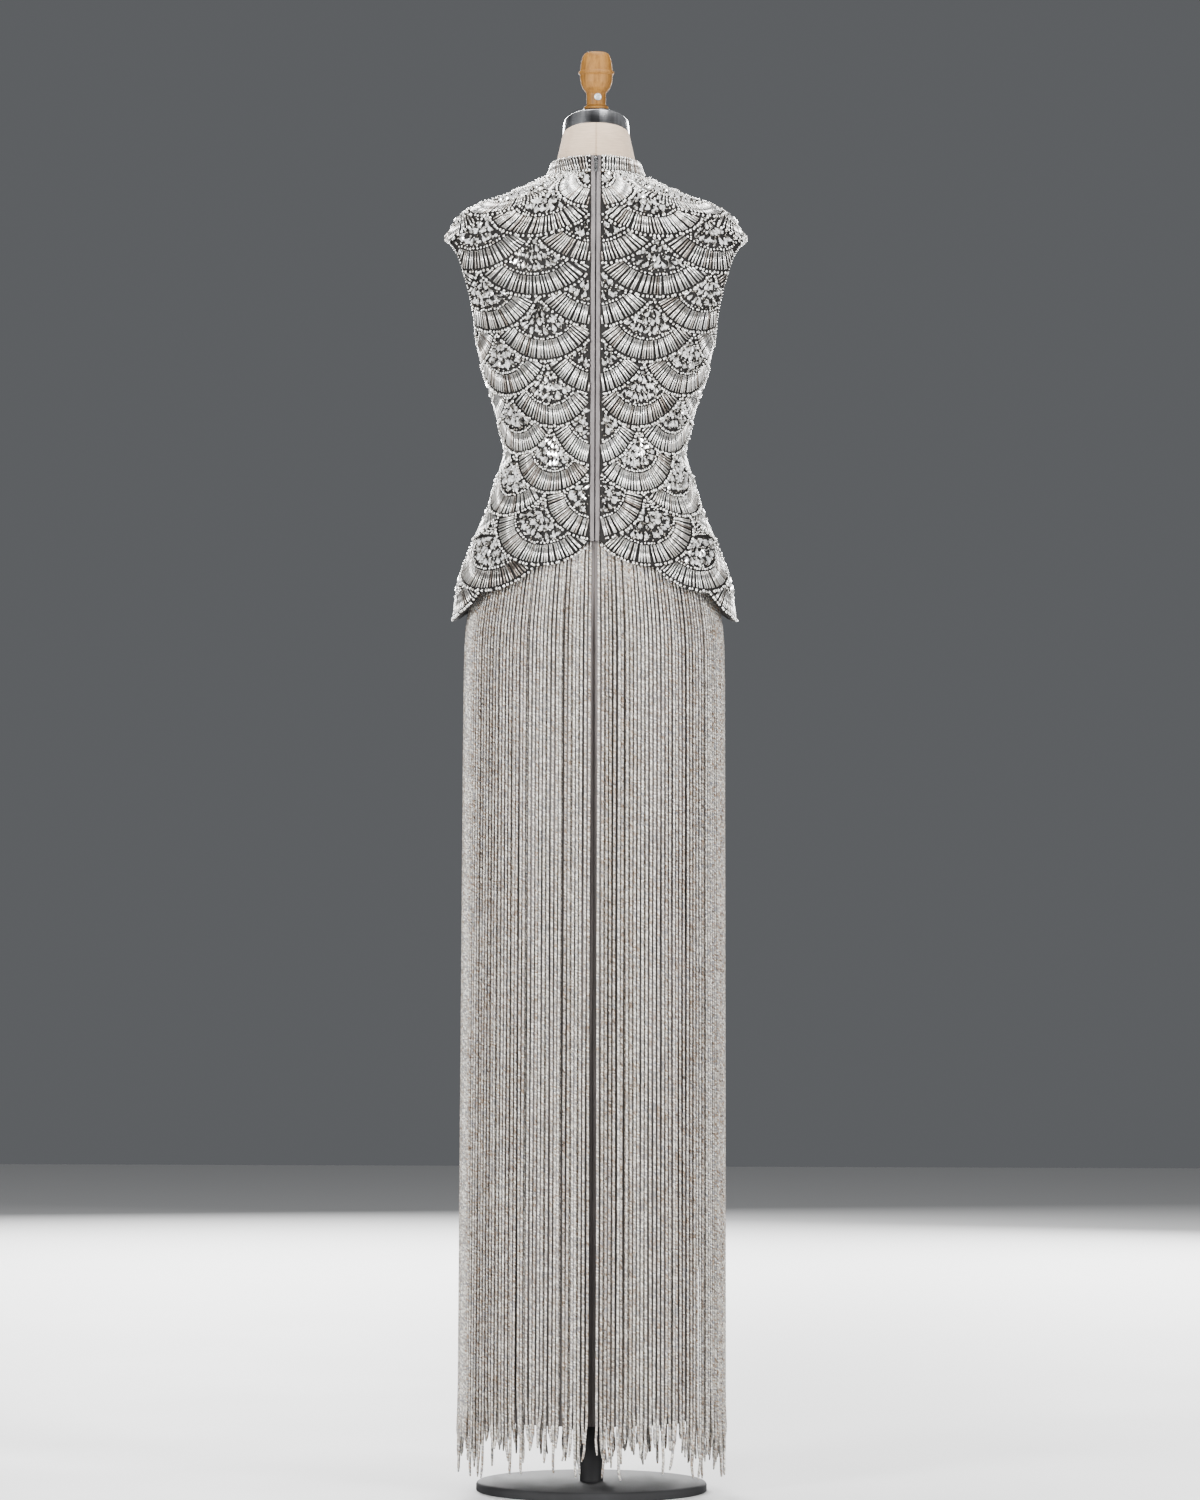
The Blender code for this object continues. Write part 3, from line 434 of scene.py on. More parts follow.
cap_place = Matrix.Translation(NECK_END) @ Matrix.Rotation(-CAP_LEAN, 4, "X")
cap = lathe("steel_cap", [(CAP_GAP + share * CAP_HEIGHT, CAP_RADIUS - drawn_in * MM)
                          for share, drawn_in in CAP_PROFILE], steel, 96, cap_place)
seat = cap_place @ Vector((0, 0, CAP_GAP + CAP_HEIGHT))
knob_foot = seat.z + BOSS_RISE
boss = lathe("steel_boss", ((seat.z - 9 * MM, BOSS_RADIUS), (knob_foot - 1.1 * MM, BOSS_RADIUS),
                            (knob_foot - 0.3 * MM, BOSS_RADIUS - 0.8 * MM)), steel, 48,
             Matrix.Translation((0, seat.y, 0)))
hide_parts("form_neck_cap")

# Knob: turned from beech, with a bead round its middle, on the boss. Columns of its profile: height and
# radius in millimetres.
KNOB_PROFILE = (
    (0, 15.4), (0.6, 16), (3, 16), (4.5, 12.8), (8, 12.5), (20, 12.6), (27, 18), (34, 20.4), (40, 21.2),
    (44, 21), (45.4, 23.0), (47, 23.6), (48.6, 23.0), (50, 21), (55, 20.6), (62, 19.6), (68, 18),
    (72, 15.6), (74.2, 11), (75, 3),
)
BEECH_COLOURS = ((0.3, (0.12, 0.052, 0.012)), (0.5, (0.30, 0.148, 0.038)), (0.72, (0.45, 0.245, 0.075)))

wood, shader, place = material("turned_beech", (0.40, 0.22, 0.08), 0.6)
grain = noise(stretched(place, 1, 1, 0.08), 260, 5, 0.65)
rays = noise(stretched(place, 1, 1, 0.3), 900, 2)
figure = noise(stretched(place, 1, 1, 0.2), 45, 3)
wire(shader, "Base Color", (grain * 0.5 + figure * 0.35 + rays * 0.15).ramp(*BEECH_COLOURS))
wire(shader, "Roughness", grain * 0.25 + 0.5)
bump(shader, grain, 0.0001, 0.5)

knob = lathe("wooden_knob", [(z * MM, r * MM) for z, r in KNOB_PROFILE], wood, 72,
             Matrix.Translation((0, seat.y, knob_foot)), step=0.7 * MM)
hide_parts("form_knob")

# Set screw: zinc-plated steel, through the knob's foot from behind, with a socket in its head. It holds the
# knob to the boss.
SCREW_RISE = 15 * MM
SCREW_ASIDE = 2 * MM
SCREW_OUT = 12.75 * MM
SCREW_PROFILE = ((0, 4.7), (1.7, 4.7), (2.3, 4.1), (2.6, 3.0), (2.6, 1.8), (1.6, 1.6))
ZINC_COLOURS = ((0.3, (0.50, 0.51, 0.53)), (0.7, (0.72, 0.73, 0.75)))

zinc, shader, place = material("zinc_screw", (0.6, 0.6, 0.6), 0.42, 0.5)
wire(shader, "Base Color", noise(place, 700, 3).ramp(*ZINC_COLOURS))
screw_place = Matrix.Translation((SCREW_ASIDE, seat.y - SCREW_OUT, knob_foot + SCREW_RISE))
screw = lathe("knob_screw", [(z * MM, r * MM) for z, r in SCREW_PROFILE], zinc, 32,
              screw_place @ Matrix.Rotation(math.pi / 2, 4, "X"))
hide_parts("form_knob_screw")

# Underskirt: plain mauve-grey crepe in three panels, seamed at the centre back and the sides, that hangs
# from under the bodice. Its hem is turned up once and stitched, and shallow folds rise from it and fade.
SEAM_GAP = 0.3 * MM
SEAM_HALF_GAP = 0.002
HEM_LEVELS = (91, 92, 95, 111.5, 112.5, 114)
HEM_TOP = 112 * MM
FIRST_ROW, LAST_ROW, UNDERSKIRT_ROWS = 140, 1316, 44
CREPE_THICK = 0.8 * MM
CREPE_INSET = 0.7 * MM
TURNING_THICK = 0.6 * MM
BACK_COLUMNS, FRONT_COLUMNS = 40, 80
CREPE_COLOURS = ((0.3, (0.15, 0.135, 0.13)), (0.7, (0.23, 0.21, 0.205)))
# Columns: girth in units, depth in millimetres, half breadth in units, how far up it fades out in metres
HANGING_FOLDS = (
    (-4.9, 3.0, 0.32, 0.75), (-4.1, 2.2, 0.24, 0.45), (-3.3, 2.6, 0.3, 0.6), (-2.45, 2.8, 0.3, 0.7),
    (-1.6, 1.8, 0.22, 0.4), (-0.75, 2.4, 0.28, 0.65), (0.6, 2.0, 0.24, 0.5), (1.35, 3.0, 0.34, 0.8),
    (2.3, 2.2, 0.26, 0.5), (3.1, 2.6, 0.3, 0.7), (4.3, 2.4, 0.26, 0.55), (5.2, 3.0, 0.34, 0.8),
)


def thin_wall(name, outer, inner, finish, uv):
    """A sheet with its thickness: an outer and an inner grid, joined round their edge."""
    rows, columns = outer.shape[:2]
    count = rows * columns
    faces = [grid_faces(rows, columns), grid_faces(rows, columns, count)[:, ::-1]]
    border = np.concatenate([np.arange(columns), np.arange(1, rows) * columns + columns - 1,
                             count - 2 - np.arange(columns - 1), np.arange(rows - 2, 0, -1) * columns])
    after = np.roll(border, -1)
    faces.append(np.stack([border, border + count, after + count, after], axis=1))
    points = np.concatenate([outer.reshape(-1, 3), inner.reshape(-1, 3)])
    uv = np.concatenate([uv.reshape(-1, 2)] * 2)
    return make_object(name, points, np.concatenate(faces), finish, uv=uv)


def grid_area(points):
    """Area of a grid of points: half the cross product of each cell's diagonals, summed."""
    a, b = points[1:, 1:] - points[:-1, :-1], points[1:, :-1] - points[:-1, 1:]
    return float(np.linalg.norm(np.cross(a, b), axis=2).sum() / 2)


def cloth_uv(points):
    """Metres along the rows and up the columns of a grid, for the weave."""
    across = np.cumsum(np.linalg.norm(np.diff(points, axis=1, prepend=points[:, :1]), axis=2), axis=1)
    up = np.cumsum(np.linalg.norm(np.diff(points, axis=0, prepend=points[:1]), axis=2), axis=0)
    return np.stack([across - across[:, -1:] / 2, up], axis=-1)


def declare_sheet(outer):
    """Works out the piece's cut: the rectangle that its width and length fill, and its own area. Nothing uses
    them.
    """
    sizes = cloth_uv(outer)
    width = float(np.ptp(sizes[..., 0], axis=1).max())
    length = float(np.ptp(sizes[..., 1], axis=0).max())
    area = min(grid_area(outer), width * length)


def underskirt_panel(name, first, last, columns, node):
    """One panel between two girths: rows from the hem up, and folds as troughs and ridges, each a bell curve
    round the girth less a shallower one beside it, that fade upwards."""
    heights = np.concatenate([HEM_LEVELS, np.linspace(FIRST_ROW, LAST_ROW, UNDERSKIRT_ROWS)]) * MM
    numbers = [float(ring_at_height(underskirt_ring, len(UNDERSKIRT_RINGS), z)) for z in heights]
    girths = np.linspace(first, last, columns)
    points, normals = surface(underskirt_ring, numbers, [girths] * len(numbers))
    swell = np.zeros(points.shape[:2])
    for middle, depth, breadth, reach in HANGING_FOLDS:
        trough = np.exp(-((girths - middle) / breadth) ** 2)
        ridge = np.exp(-((girths - middle - 0.4) / breadth) ** 2)
        fade = np.clip(1 - (heights - 0.09) / reach, 0, 1) ** 1.5
        swell += depth * MM * fade[:, None] * (trough - 0.55 * ridge)[None, :]
    thick = np.where(heights < HEM_TOP, TURNING_THICK, 0)[:, None]
    outer = points + normals * (swell - CREPE_INSET + thick * 0.5)[..., None]
    inner = outer - normals * (CREPE_THICK + thick)[..., None]
    piece = thin_wall(name, outer, inner, crepe, cloth_uv(points))
    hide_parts(node)
    declare_sheet(points)


crepe, shader, place = material("mauve_grey_crepe", (0.12, 0.105, 0.10), 0.78,
                                sheen_weight=0.25, sheen_roughness=0.4)
pebble = noise(place, 1500, 3, 0.6)
cloud = noise(place, 9, 3)
wire(shader, "Base Color", (pebble * 0.5 + cloud * 0.5).ramp(*CREPE_COLOURS))
bump(shader, pebble, 0.00025, 0.8)

underskirt_panel("underskirt_right_back", SEAM_HALF_GAP, SIDE_UNIT - SEAM_HALF_GAP, BACK_COLUMNS,
                 "underskirt_back_right")
underskirt_panel("underskirt_left_back", -SIDE_UNIT + SEAM_HALF_GAP, -SEAM_HALF_GAP, BACK_COLUMNS,
                 "underskirt_back_left")
underskirt_panel("underskirt_whole_front", SIDE_UNIT + SEAM_HALF_GAP,
                 2 * HALF_TURN_UNITS - SIDE_UNIT - SEAM_HALF_GAP, FRONT_COLUMNS, "underskirt_front")

# Bodice's ground: dark net over a backing, in two backs and a front, seamed at the sides and parted at the
# zip. The beadwork is sewn to it in rows of fans, and it stands proud in a scale under each fan. Heights on
# it are lengths of cloth above the waist. The fans and their rows follow from these sizes.
ROW_STEP = 50.7 * MM
ROW_STEP_LOSS = 0.73 * MM
HEM_BELOW_WAIST = 124 * MM
HEM_LIFT_PER_UNIT = 16.5 * MM
TOP_ROW = 14
NECK_ROW = 10
FAN_RADIUS = 76 * MM
FAN_HALF_WIDTH = 1.15
FAN_PROUD = 2.0 * MM
CLUSTER_SHARE = 0.6
CLUSTER_PROUD = 1.0 * MM
ZIP_HALF_WIDTH = 6.3 * MM
PANEL_COLUMNS, PANEL_ROWS = 41, 64
NET_SINK, NET_DEPTH = 0.5 * MM, 1.2 * MM
NET_COLOURS = ((0.3, (0.006, 0.005, 0.005)), (0.7, (0.026, 0.023, 0.021)))
# Columns: ring number, x of the armhole's edge on the back and on the front in millimetres
ARMHOLE_EDGES = ((11, 154, 154), (12, 159, 152), (13, 169, 157), (14, 180, 171), (15, 195, 195))


def row_bottom(column, row):
    """How far above the waist the lowest point of a fan lies: the rows' step shrinks with each row, and the
    lowest rows lift smoothly towards the sides."""
    away = min(abs(column), HALF_TURN_UNITS - abs(column))
    share = min(max((5 - row) / 6, 0), 1)
    level = ROW_STEP * row - ROW_STEP_LOSS * row * row - HEM_BELOW_WAIST
    return level + HEM_LIFT_PER_UNIT * away * share * share * (3 - 2 * share)


FANS = [(column, row_bottom(column, row), row) for row in range(-SIDE_UNIT, TOP_ROW + 1)
        for column in range(-HALF_TURN_UNITS + 1, HALF_TURN_UNITS + 1)
        if row >= -min(abs(column), HALF_TURN_UNITS - abs(column)) and (row + column) % 2 == 0
        and (row <= NECK_ROW or min(abs(column), HALF_TURN_UNITS - abs(column)) > 1)]


def from_centre(girth, column):
    """Units of girth from a fan's centre line, the short way round."""
    return (girth - column + HALF_TURN_UNITS) % (2 * HALF_TURN_UNITS) - HALF_TURN_UNITS


def fan_polar(girth, height, column, bottom):
    """Distance from a fan's pole as a share of its radius, where it hangs below the pole."""
    share = np.hypot(from_centre(girth, column) / FAN_HALF_WIDTH, (height - bottom - FAN_RADIUS) / FAN_RADIUS)
    return np.where(height < bottom + FAN_RADIUS, share, 9.0)


def top_fan(girth, height):
    """Index of the uppermost fan over each point, and how far out on it the point lies. Higher rows lie over
    lower ones."""
    best = np.full(np.shape(girth), -1)
    share = np.zeros(np.shape(girth))
    for index, (column, bottom, _) in enumerate(FANS):
        polar = fan_polar(girth, height, column, bottom)
        over = polar <= 1.0
        best = np.where(over, index, best)
        share = np.where(over, polar, share)
    return best, share


def fan_height(share):
    """How proud the ground stands on a fan: it thickens towards its arc, and its cluster is a mound."""
    return FAN_PROUD * share ** 2 + CLUSTER_PROUD * np.cos(np.clip(share / CLUSTER_SHARE, 0, 1) * math.pi / 2)


def hem_height(girth):
    """Lower edge of the peplum above the waist: the lowest arc of the fans that end there."""
    lowest = np.full(np.shape(girth), np.inf)
    for column in range(-HALF_TURN_UNITS, HALF_TURN_UNITS + 1):
        row = -min(abs(column), HALF_TURN_UNITS - abs(column))
        across = np.clip(np.abs(girth - column) / FAN_HALF_WIDTH, 0, 1)
        arc = row_bottom(column, row) + FAN_RADIUS * (1 - np.sqrt(1 - across ** 2))
        lowest = np.minimum(lowest, np.where(across < 1, arc, np.inf))
    return lowest


# Chart of the bodice: for each ring number and girth, the angle, and the cloth's length above the waist
CHART_ROWS, CHART_COLUMNS = 421, 121
CHART_NUMBERS = np.linspace(0, TOP_RING, CHART_ROWS)
CHART_GIRTHS = np.linspace(0, HALF_TURN_UNITS, CHART_COLUMNS)
CHART_ANGLES = np.array([angle_of_girth(bodice_ring, n, CHART_GIRTHS) for n in CHART_NUMBERS])
plumb_angles = np.linspace(0, math.pi, 61)
plumb = oval(bodice_ring, CHART_NUMBERS[:, None], plumb_angles[None, :])
steps = np.linalg.norm(np.diff(plumb, axis=0), axis=2)
climbs = np.concatenate([np.zeros((1, len(plumb_angles))), np.cumsum(steps, axis=0)])
climbs -= climbs[np.argmin(np.abs(CHART_NUMBERS - WAIST_RING))]
CHART_CLIMBS = np.array([np.interp(a, plumb_angles, c) for a, c in zip(CHART_ANGLES, climbs)])
quarter = oval(bodice_ring, CHART_NUMBERS[:, None], np.linspace(0, math.pi / 2, 41)[None, :])
CHART_UNIT = np.linalg.norm(np.diff(quarter, axis=1), axis=2).sum(axis=1) / SIDE_UNIT


def on_bodice(girth, height):
    """Ring number and angle of points given by girth and by cloth length above the waist, and whether they
    exist: both are read from the chart, by shares between its rows and columns."""
    girth, height = np.asarray(girth, float).ravel(), np.asarray(height, float).ravel()
    numbers, angles = np.zeros(girth.shape), np.zeros(girth.shape)
    exists = np.zeros(girth.shape, bool)
    for start in range(0, len(girth), 8000):
        part = slice(start, start + 8000)
        g = np.abs(girth[part]) / HALF_TURN_UNITS * (len(CHART_GIRTHS) - 1)
        low = np.minimum(g.astype(int), len(CHART_GIRTHS) - 2)
        share = g - low
        climb = CHART_CLIMBS[:, low] * (1 - share) + CHART_CLIMBS[:, low + 1] * share
        above = (climb < height[part]).sum(axis=0)
        exists[part] = (above > 0) & (above < len(CHART_NUMBERS))
        above = np.clip(above, 1, len(CHART_NUMBERS) - 1)
        cell = np.arange(len(low))
        a, b = climb[above - 1, cell], climb[above, cell]
        part_way = np.clip((height[part] - a) / np.maximum(b - a, 1e-9), 0, 1)
        at = above - 1 + part_way
        numbers[part] = np.interp(at, np.arange(len(CHART_NUMBERS)), CHART_NUMBERS)
        low_angle = CHART_ANGLES[above - 1, low] * (1 - share) + CHART_ANGLES[above - 1, low + 1] * share
        high_angle = CHART_ANGLES[above, low] * (1 - share) + CHART_ANGLES[above, low + 1] * share
        angles[part] = np.sign(girth[part]) * (low_angle + (high_angle - low_angle) * part_way)
    return numbers, angles, exists


armhole_edge = smooth_table([row[1:] for row in ARMHOLE_EDGES])


def edge_girth(numbers, behind):
    """Girth of the armhole's edge at each ring number, or of the side seam above and below it."""
    first, last = ARMHOLE_EDGES[0][0], ARMHOLE_EDGES[-1][0]
    edge = armhole_edge(np.clip(numbers - first, 0, last - first))[..., 0 if behind else 1]
    angle = np.arcsin(np.clip(edge / bodice_ring(numbers)[..., 3], 0, 1))
    angle = angle if behind else math.pi - angle
    rows = np.round(numbers / TOP_RING * (CHART_ROWS - 1)).astype(int)
    found = np.array([np.interp(a, CHART_ANGLES[row], CHART_GIRTHS) for row, a in zip(rows, angle)])
    inside = (numbers > first) & (numbers < last)
    return np.where(inside, found, SIDE_UNIT)


def bodice_panel(behind, columns, rows):
    """Grids for a quarter of the bodice at +X, from its centre line to its outer edge: the cloth's own
    surface, the ground's outer face with its scales, and its inner face."""
    numbers, girths = np.zeros((rows, columns)), np.zeros((rows, columns))
    for c, share in enumerate(np.linspace(0, 1, columns)):
        rough = SIDE_UNIT * share if behind else HALF_TURN_UNITS - SIDE_UNIT * share
        low = on_bodice([rough], [float(hem_height(rough))])[0][0]
        numbers[:, c] = low + (TOP_RING - low) * np.linspace(0, 1, rows)
        edge = edge_girth(numbers[:, c], behind)
        unit = np.interp(numbers[:, c], CHART_NUMBERS, CHART_UNIT)
        centre = (ZIP_HALF_WIDTH + SEAM_GAP) / unit if behind else HALF_TURN_UNITS
        seam = SEAM_GAP / 2 / unit
        edge = np.minimum(edge, SIDE_UNIT - seam) if behind else np.maximum(edge, SIDE_UNIT + seam)
        girths[:, c] = centre + (edge - centre) * share
    number_cells = numbers / TOP_RING * (CHART_ROWS - 1)
    low = np.minimum(number_cells.astype(int), CHART_ROWS - 2)
    share = number_cells - low
    at = girths / HALF_TURN_UNITS * (CHART_COLUMNS - 1)
    left = np.minimum(at.astype(int), CHART_COLUMNS - 2)
    part_way = at - left

    def chart(values):
        below = values[low, left] * (1 - part_way) + values[low, left + 1] * part_way
        above = values[low + 1, left] * (1 - part_way) + values[low + 1, left + 1] * part_way
        return below * (1 - share) + above * share

    angles = chart(CHART_ANGLES)
    proud = fan_height(top_fan(girths, chart(CHART_CLIMBS))[1])
    proud[-1] = 0
    points, normals = oval(bodice_ring, numbers, angles), outward(bodice_ring, numbers, angles)
    return points, points + normals * (proud - NET_SINK)[..., None], points - normals * NET_DEPTH


def mirrored(points):
    """The same grid on the -X side, with its columns in the order that keeps it facing out."""
    return (points * np.array([-1, 1, 1]))[:, ::-1]


net, shader, place = material("bodice_net", (0.05, 0.045, 0.04), 0.7)
mesh_lines = noise(place, 900, 2)
patch = noise(place, 16, 3)
wire(shader, "Base Color", (mesh_lines * 0.6 + patch * 0.4).ramp(*NET_COLOURS))
bump(shader, mesh_lines, 0.0004, 0.8)

true, outer, inner = bodice_panel(True, PANEL_COLUMNS, PANEL_ROWS)
GROUND = {
    "bodice_back_right": (true, outer, inner),
    "bodice_back_left": tuple(mirrored(grid) for grid in (true, outer, inner)),
    "bodice_front": tuple(np.concatenate([grid[:, ::-1], mirrored(grid[:, ::-1])[:, 1:]], axis=1)
                          for grid in bodice_panel(False, PANEL_COLUMNS, PANEL_ROWS)),
}
for node, (true, outer, inner) in GROUND.items():
    piece = thin_wall(node.replace("bodice", "net"), outer, inner, net, cloth_uv(true))
    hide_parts(node)

# Bugles: silvered glass tubes, sewn in a row to each fan from its cluster out to its arc, each cut short
# where the fans above cover it. Narrower fans, at the waist and the neck, have fewer.
BUGLES = 49
BUGLE_TURN = math.radians(78)
FULL_FAN_UNIT = 62 * MM
BUGLE_RADIUS = 1.25 * MM
BUGLE_LIFT = 1.0 * MM
BUGLE_SIDES = 6
SAMPLES = 7
INNER_SHARE, OUTER_SHARE = 0.635, 0.935
EDGE_MARGIN = 1.5 * MM
NECK_MARGIN = 0.15
# Brightness of the bugles, from 0 to 1: its middle, its spread between fans, its swing across a fan, and its
# spread between bugles
TONE_MIDDLE, TONE_SPREAD, TONE_SWING, BUGLE_TONE_SPREAD = 0.66, 0.12, 0.12, 0.24
BUGLE_COLOURS = ((0.0, (0.20, 0.165, 0.14)), (0.25, (0.44, 0.40, 0.365)), (0.5, (0.70, 0.675, 0.64)),
                 (1.0, (0.93, 0.925, 0.91)))
PANEL_NAMES = ("back_right", "back_left", "front_right", "front_left")


def tone(place, name):
    """A number stored on the mesh."""
    made = place.node("ShaderNodeAttribute", out=2)
    made.output.node.attribute_name = name
    return made


def tube_shape(sides):
    """Prism along its first axis from 0 to 1, radius 1: points, faces, and which faces are smooth."""
    turn = np.linspace(0, 2 * math.pi, sides, endpoint=False)
    ring = np.stack([np.cos(turn), np.sin(turn)], axis=1)
    points = np.concatenate([np.column_stack([np.full(sides, u), ring]) for u in (0.0, 1.0)])
    faces = [(s, (s + 1) % sides, sides + (s + 1) % sides, sides + s)[::-1] for s in range(sides)]
    caps = [tuple(range(sides)), tuple(range(2 * sides - 1, sides - 1, -1))]
    return points, faces + caps, [True] * sides + [False, False]


def lay(name, shape, origins, along, across, up, finish, tones, painted_facet_glints=0.0):
    """Copies a shape to many places: each point is the origin plus its three coordinates times the axes
    along, across and up there, sized in metres."""
    points, faces, smooth = shape
    count, corners = len(origins), len(points)
    if not count:
        return None
    placed = (origins[:, None] + points[None, :, :1] * along[:, None] + points[None, :, 1:2] * across[:, None]
              + points[None, :, 2:] * up[:, None])
    shifted = [tuple(np.asarray(f) + k * corners) for k in range(count) for f in faces]
    face_tones = np.repeat(tones, len(faces))
    # Each face's tone is moved at random by up to this much: painted glints on the facets of cut stones
    if painted_facet_glints:
        spread = np.random.default_rng(len(name)).uniform(-painted_facet_glints, painted_facet_glints, len(face_tones))
        face_tones = face_tones + spread
    piece = make_object(name, placed, shifted, finish, smooth * count,
                        numbers=[("tone", np.clip(face_tones, 0, 1))])
    return piece


def lay_by_panel(label, keep, girths, shape, origins, along, across, up, finish, tones, painted_facet_glints=0.0):
    """Lays what is kept as one piece for each quarter of the bodice: back or front, and right or left, by the
    girth."""
    groups = np.where(np.abs(girths) < SIDE_UNIT, 0, 2) + (girths < 0)
    for quarter, name in enumerate(PANEL_NAMES):
        pick = keep & (groups == quarter)
        axes = (axis[pick] for axis in (origins, along, across, up))
        beadwork[name].append(lay(f"{label}_{name}", shape, *axes, finish, tones[pick], painted_facet_glints))


def frame_at(numbers, angles, towards_numbers, towards_angles):
    """Points of the surface with unit vectors towards a second set of points, across, and out."""
    start = oval(bodice_ring, numbers, angles)
    end = oval(bodice_ring, towards_numbers, towards_angles)
    out = outward(bodice_ring, (numbers + towards_numbers) / 2, (angles + towards_angles) / 2)
    along = end - start
    along = along / np.maximum(np.linalg.norm(along, axis=1, keepdims=True), 1e-9)
    out = out - along * np.sum(out * along, axis=1, keepdims=True)
    out /= np.linalg.norm(out, axis=1, keepdims=True)
    return start, end, along, np.cross(out, along), out


def allowed(numbers, angles, girths, exists, margin):
    """Keeps what lies clear of the zip's strip, the armholes' edges and the neckline."""
    points = oval(bodice_ring, numbers, angles)
    behind = np.abs(girths) < SIDE_UNIT
    unit = np.interp(numbers, CHART_NUMBERS, CHART_UNIT)
    edge = np.where(behind, edge_girth(numbers, True), edge_girth(numbers, False))
    clear_edge = np.where(behind, edge - np.abs(girths), np.abs(girths) - edge) * unit
    in_armhole = (numbers > ARMHOLE_EDGES[0][0]) & (numbers < ARMHOLE_EDGES[-1][0])
    keep = exists & (numbers < TOP_RING - NECK_MARGIN)
    keep &= ~(behind & (np.abs(points[:, 0]) < ZIP_HALF_WIDTH + margin))
    return keep & ~(in_armhole & (clear_edge < margin + EDGE_MARGIN))


def polar_points(fan, share, turn):
    """Girth and height at polar places on fans: share of the radius, and angle from straight down."""
    column, bottom = np.array([f[0] for f in FANS])[fan], np.array([f[1] for f in FANS])[fan]
    girth = column + FAN_HALF_WIDTH * share * np.sin(turn)
    girth = np.where(girth > HALF_TURN_UNITS, girth - 2 * HALF_TURN_UNITS, girth)
    return girth, bottom + FAN_RADIUS * (1 - share * np.cos(turn))


bugle_glass, shader, place = material("bugle_glass", (0.80, 0.78, 0.75), 0.3, 0.85,
                                      coat_weight=0.35, coat_roughness=0.12)
shade = tone(place, "tone")
wire(shader, "Base Color", (shade * 0.85 + noise(place, 380, 2) * 0.15).ramp(*BUGLE_COLOURS))
wire(shader, "Roughness", 0.40 - shade * 0.12)

chance = np.random.default_rng(11)
beadwork = {name: [] for name in PANEL_NAMES}
column_step = (CHART_COLUMNS - 1) // HALF_TURN_UNITS
fan_units = [np.interp(bottom, CHART_CLIMBS[:, column_step * abs(column)], CHART_UNIT)
             for column, bottom, _ in FANS]
counts = np.round(BUGLES * np.minimum(1, np.array(fan_units) / FULL_FAN_UNIT)).astype(int)
fan = np.repeat(np.arange(len(FANS)), counts)
turn = np.concatenate([np.linspace(-BUGLE_TURN, BUGLE_TURN, count) for count in counts])
turn += chance.normal(0, 0.01, len(turn))
shares = np.linspace(INNER_SHARE, OUTER_SHARE, SAMPLES)
seen = np.zeros((len(fan), SAMPLES), bool)
for k, share in enumerate(shares):
    girth, height = polar_points(fan, np.full(fan.shape, share), turn)
    number, angle, exists = on_bodice(girth, height)
    seen[:, k] = (top_fan(girth, height)[0] == fan) & allowed(number, angle, girth, exists, BUGLE_RADIUS)
first = np.argmax(seen, axis=1)
last = SAMPLES - 1 - np.argmax(seen[:, ::-1], axis=1)
whole = (seen.sum(axis=1) >= 3) & (last > first)
fan, turn, first, last = fan[whole], turn[whole], first[whole], last[whole]
inner = polar_points(fan, shares[first], turn)
outer = polar_points(fan, shares[last], turn)
n1, a1, _ = on_bodice(*inner)
n2, a2, _ = on_bodice(*outer)
keep = np.abs(a1 - a2) < 1
fan, first, last, n1, a1, n2, a2 = (v[keep] for v in (fan, first, last, n1, a1, n2, a2))
girths = outer[0][keep]
start, end, along, across, out = frame_at(n1, a1, n2, a2)
start = start + out * (fan_height(shares[first])[:, None] + BUGLE_LIFT)
end = end + out * (fan_height(shares[last])[:, None] + BUGLE_LIFT)
fan_tone = np.clip(chance.normal(TONE_MIDDLE, TONE_SPREAD, len(FANS)), 0, 1)
side_tone = fan_tone[fan] + TONE_SWING * np.sin(turn[keep] * 2.3 + fan)
tones = np.clip(side_tone + chance.normal(0, BUGLE_TONE_SPREAD, len(fan)), 0, 1)
lay_by_panel("bugles", np.full(len(fan), True), girths, tube_shape(BUGLE_SIDES), start, end - start,
             across * BUGLE_RADIUS, out * BUGLE_RADIUS, bugle_glass, tones)

# Round beads: silvered glass, one at each bugle's outer end along the arc, and a line of smaller ones round
# the cluster. Columns: share of the fan's radius, count, radius in millimetres.
BEAD_LINES = ((0.985, 44, 2.3), (0.6, 31, 1.95))
LINE_SPREAD = math.radians(80)
ROUND_COLOURS = ((0.0, (0.50, 0.46, 0.42)), (0.4, (0.80, 0.78, 0.74)), (1.0, (0.96, 0.96, 0.94)))


def ball_shape():
    """Twenty-sided ball of radius 1."""
    golden = (1 + 5 ** 0.5) / 2
    points = np.array([(-1, golden, 0), (1, golden, 0), (-1, -golden, 0), (1, -golden, 0), (0, -1, golden),
                       (0, 1, golden), (0, -1, -golden), (0, 1, -golden), (golden, 0, -1), (golden, 0, 1),
                       (-golden, 0, -1), (-golden, 0, 1)]) / math.hypot(1, golden)
    faces = [(0, 11, 5), (0, 5, 1), (0, 1, 7), (0, 7, 10), (0, 10, 11), (1, 5, 9), (5, 11, 4),
             (11, 10, 2), (10, 7, 6), (7, 1, 8), (3, 9, 4), (3, 4, 2), (3, 2, 6), (3, 6, 8),
             (3, 8, 9), (4, 9, 5), (2, 4, 11), (6, 2, 10), (8, 6, 7), (9, 8, 1)]
    return points, faces, [True] * len(faces)


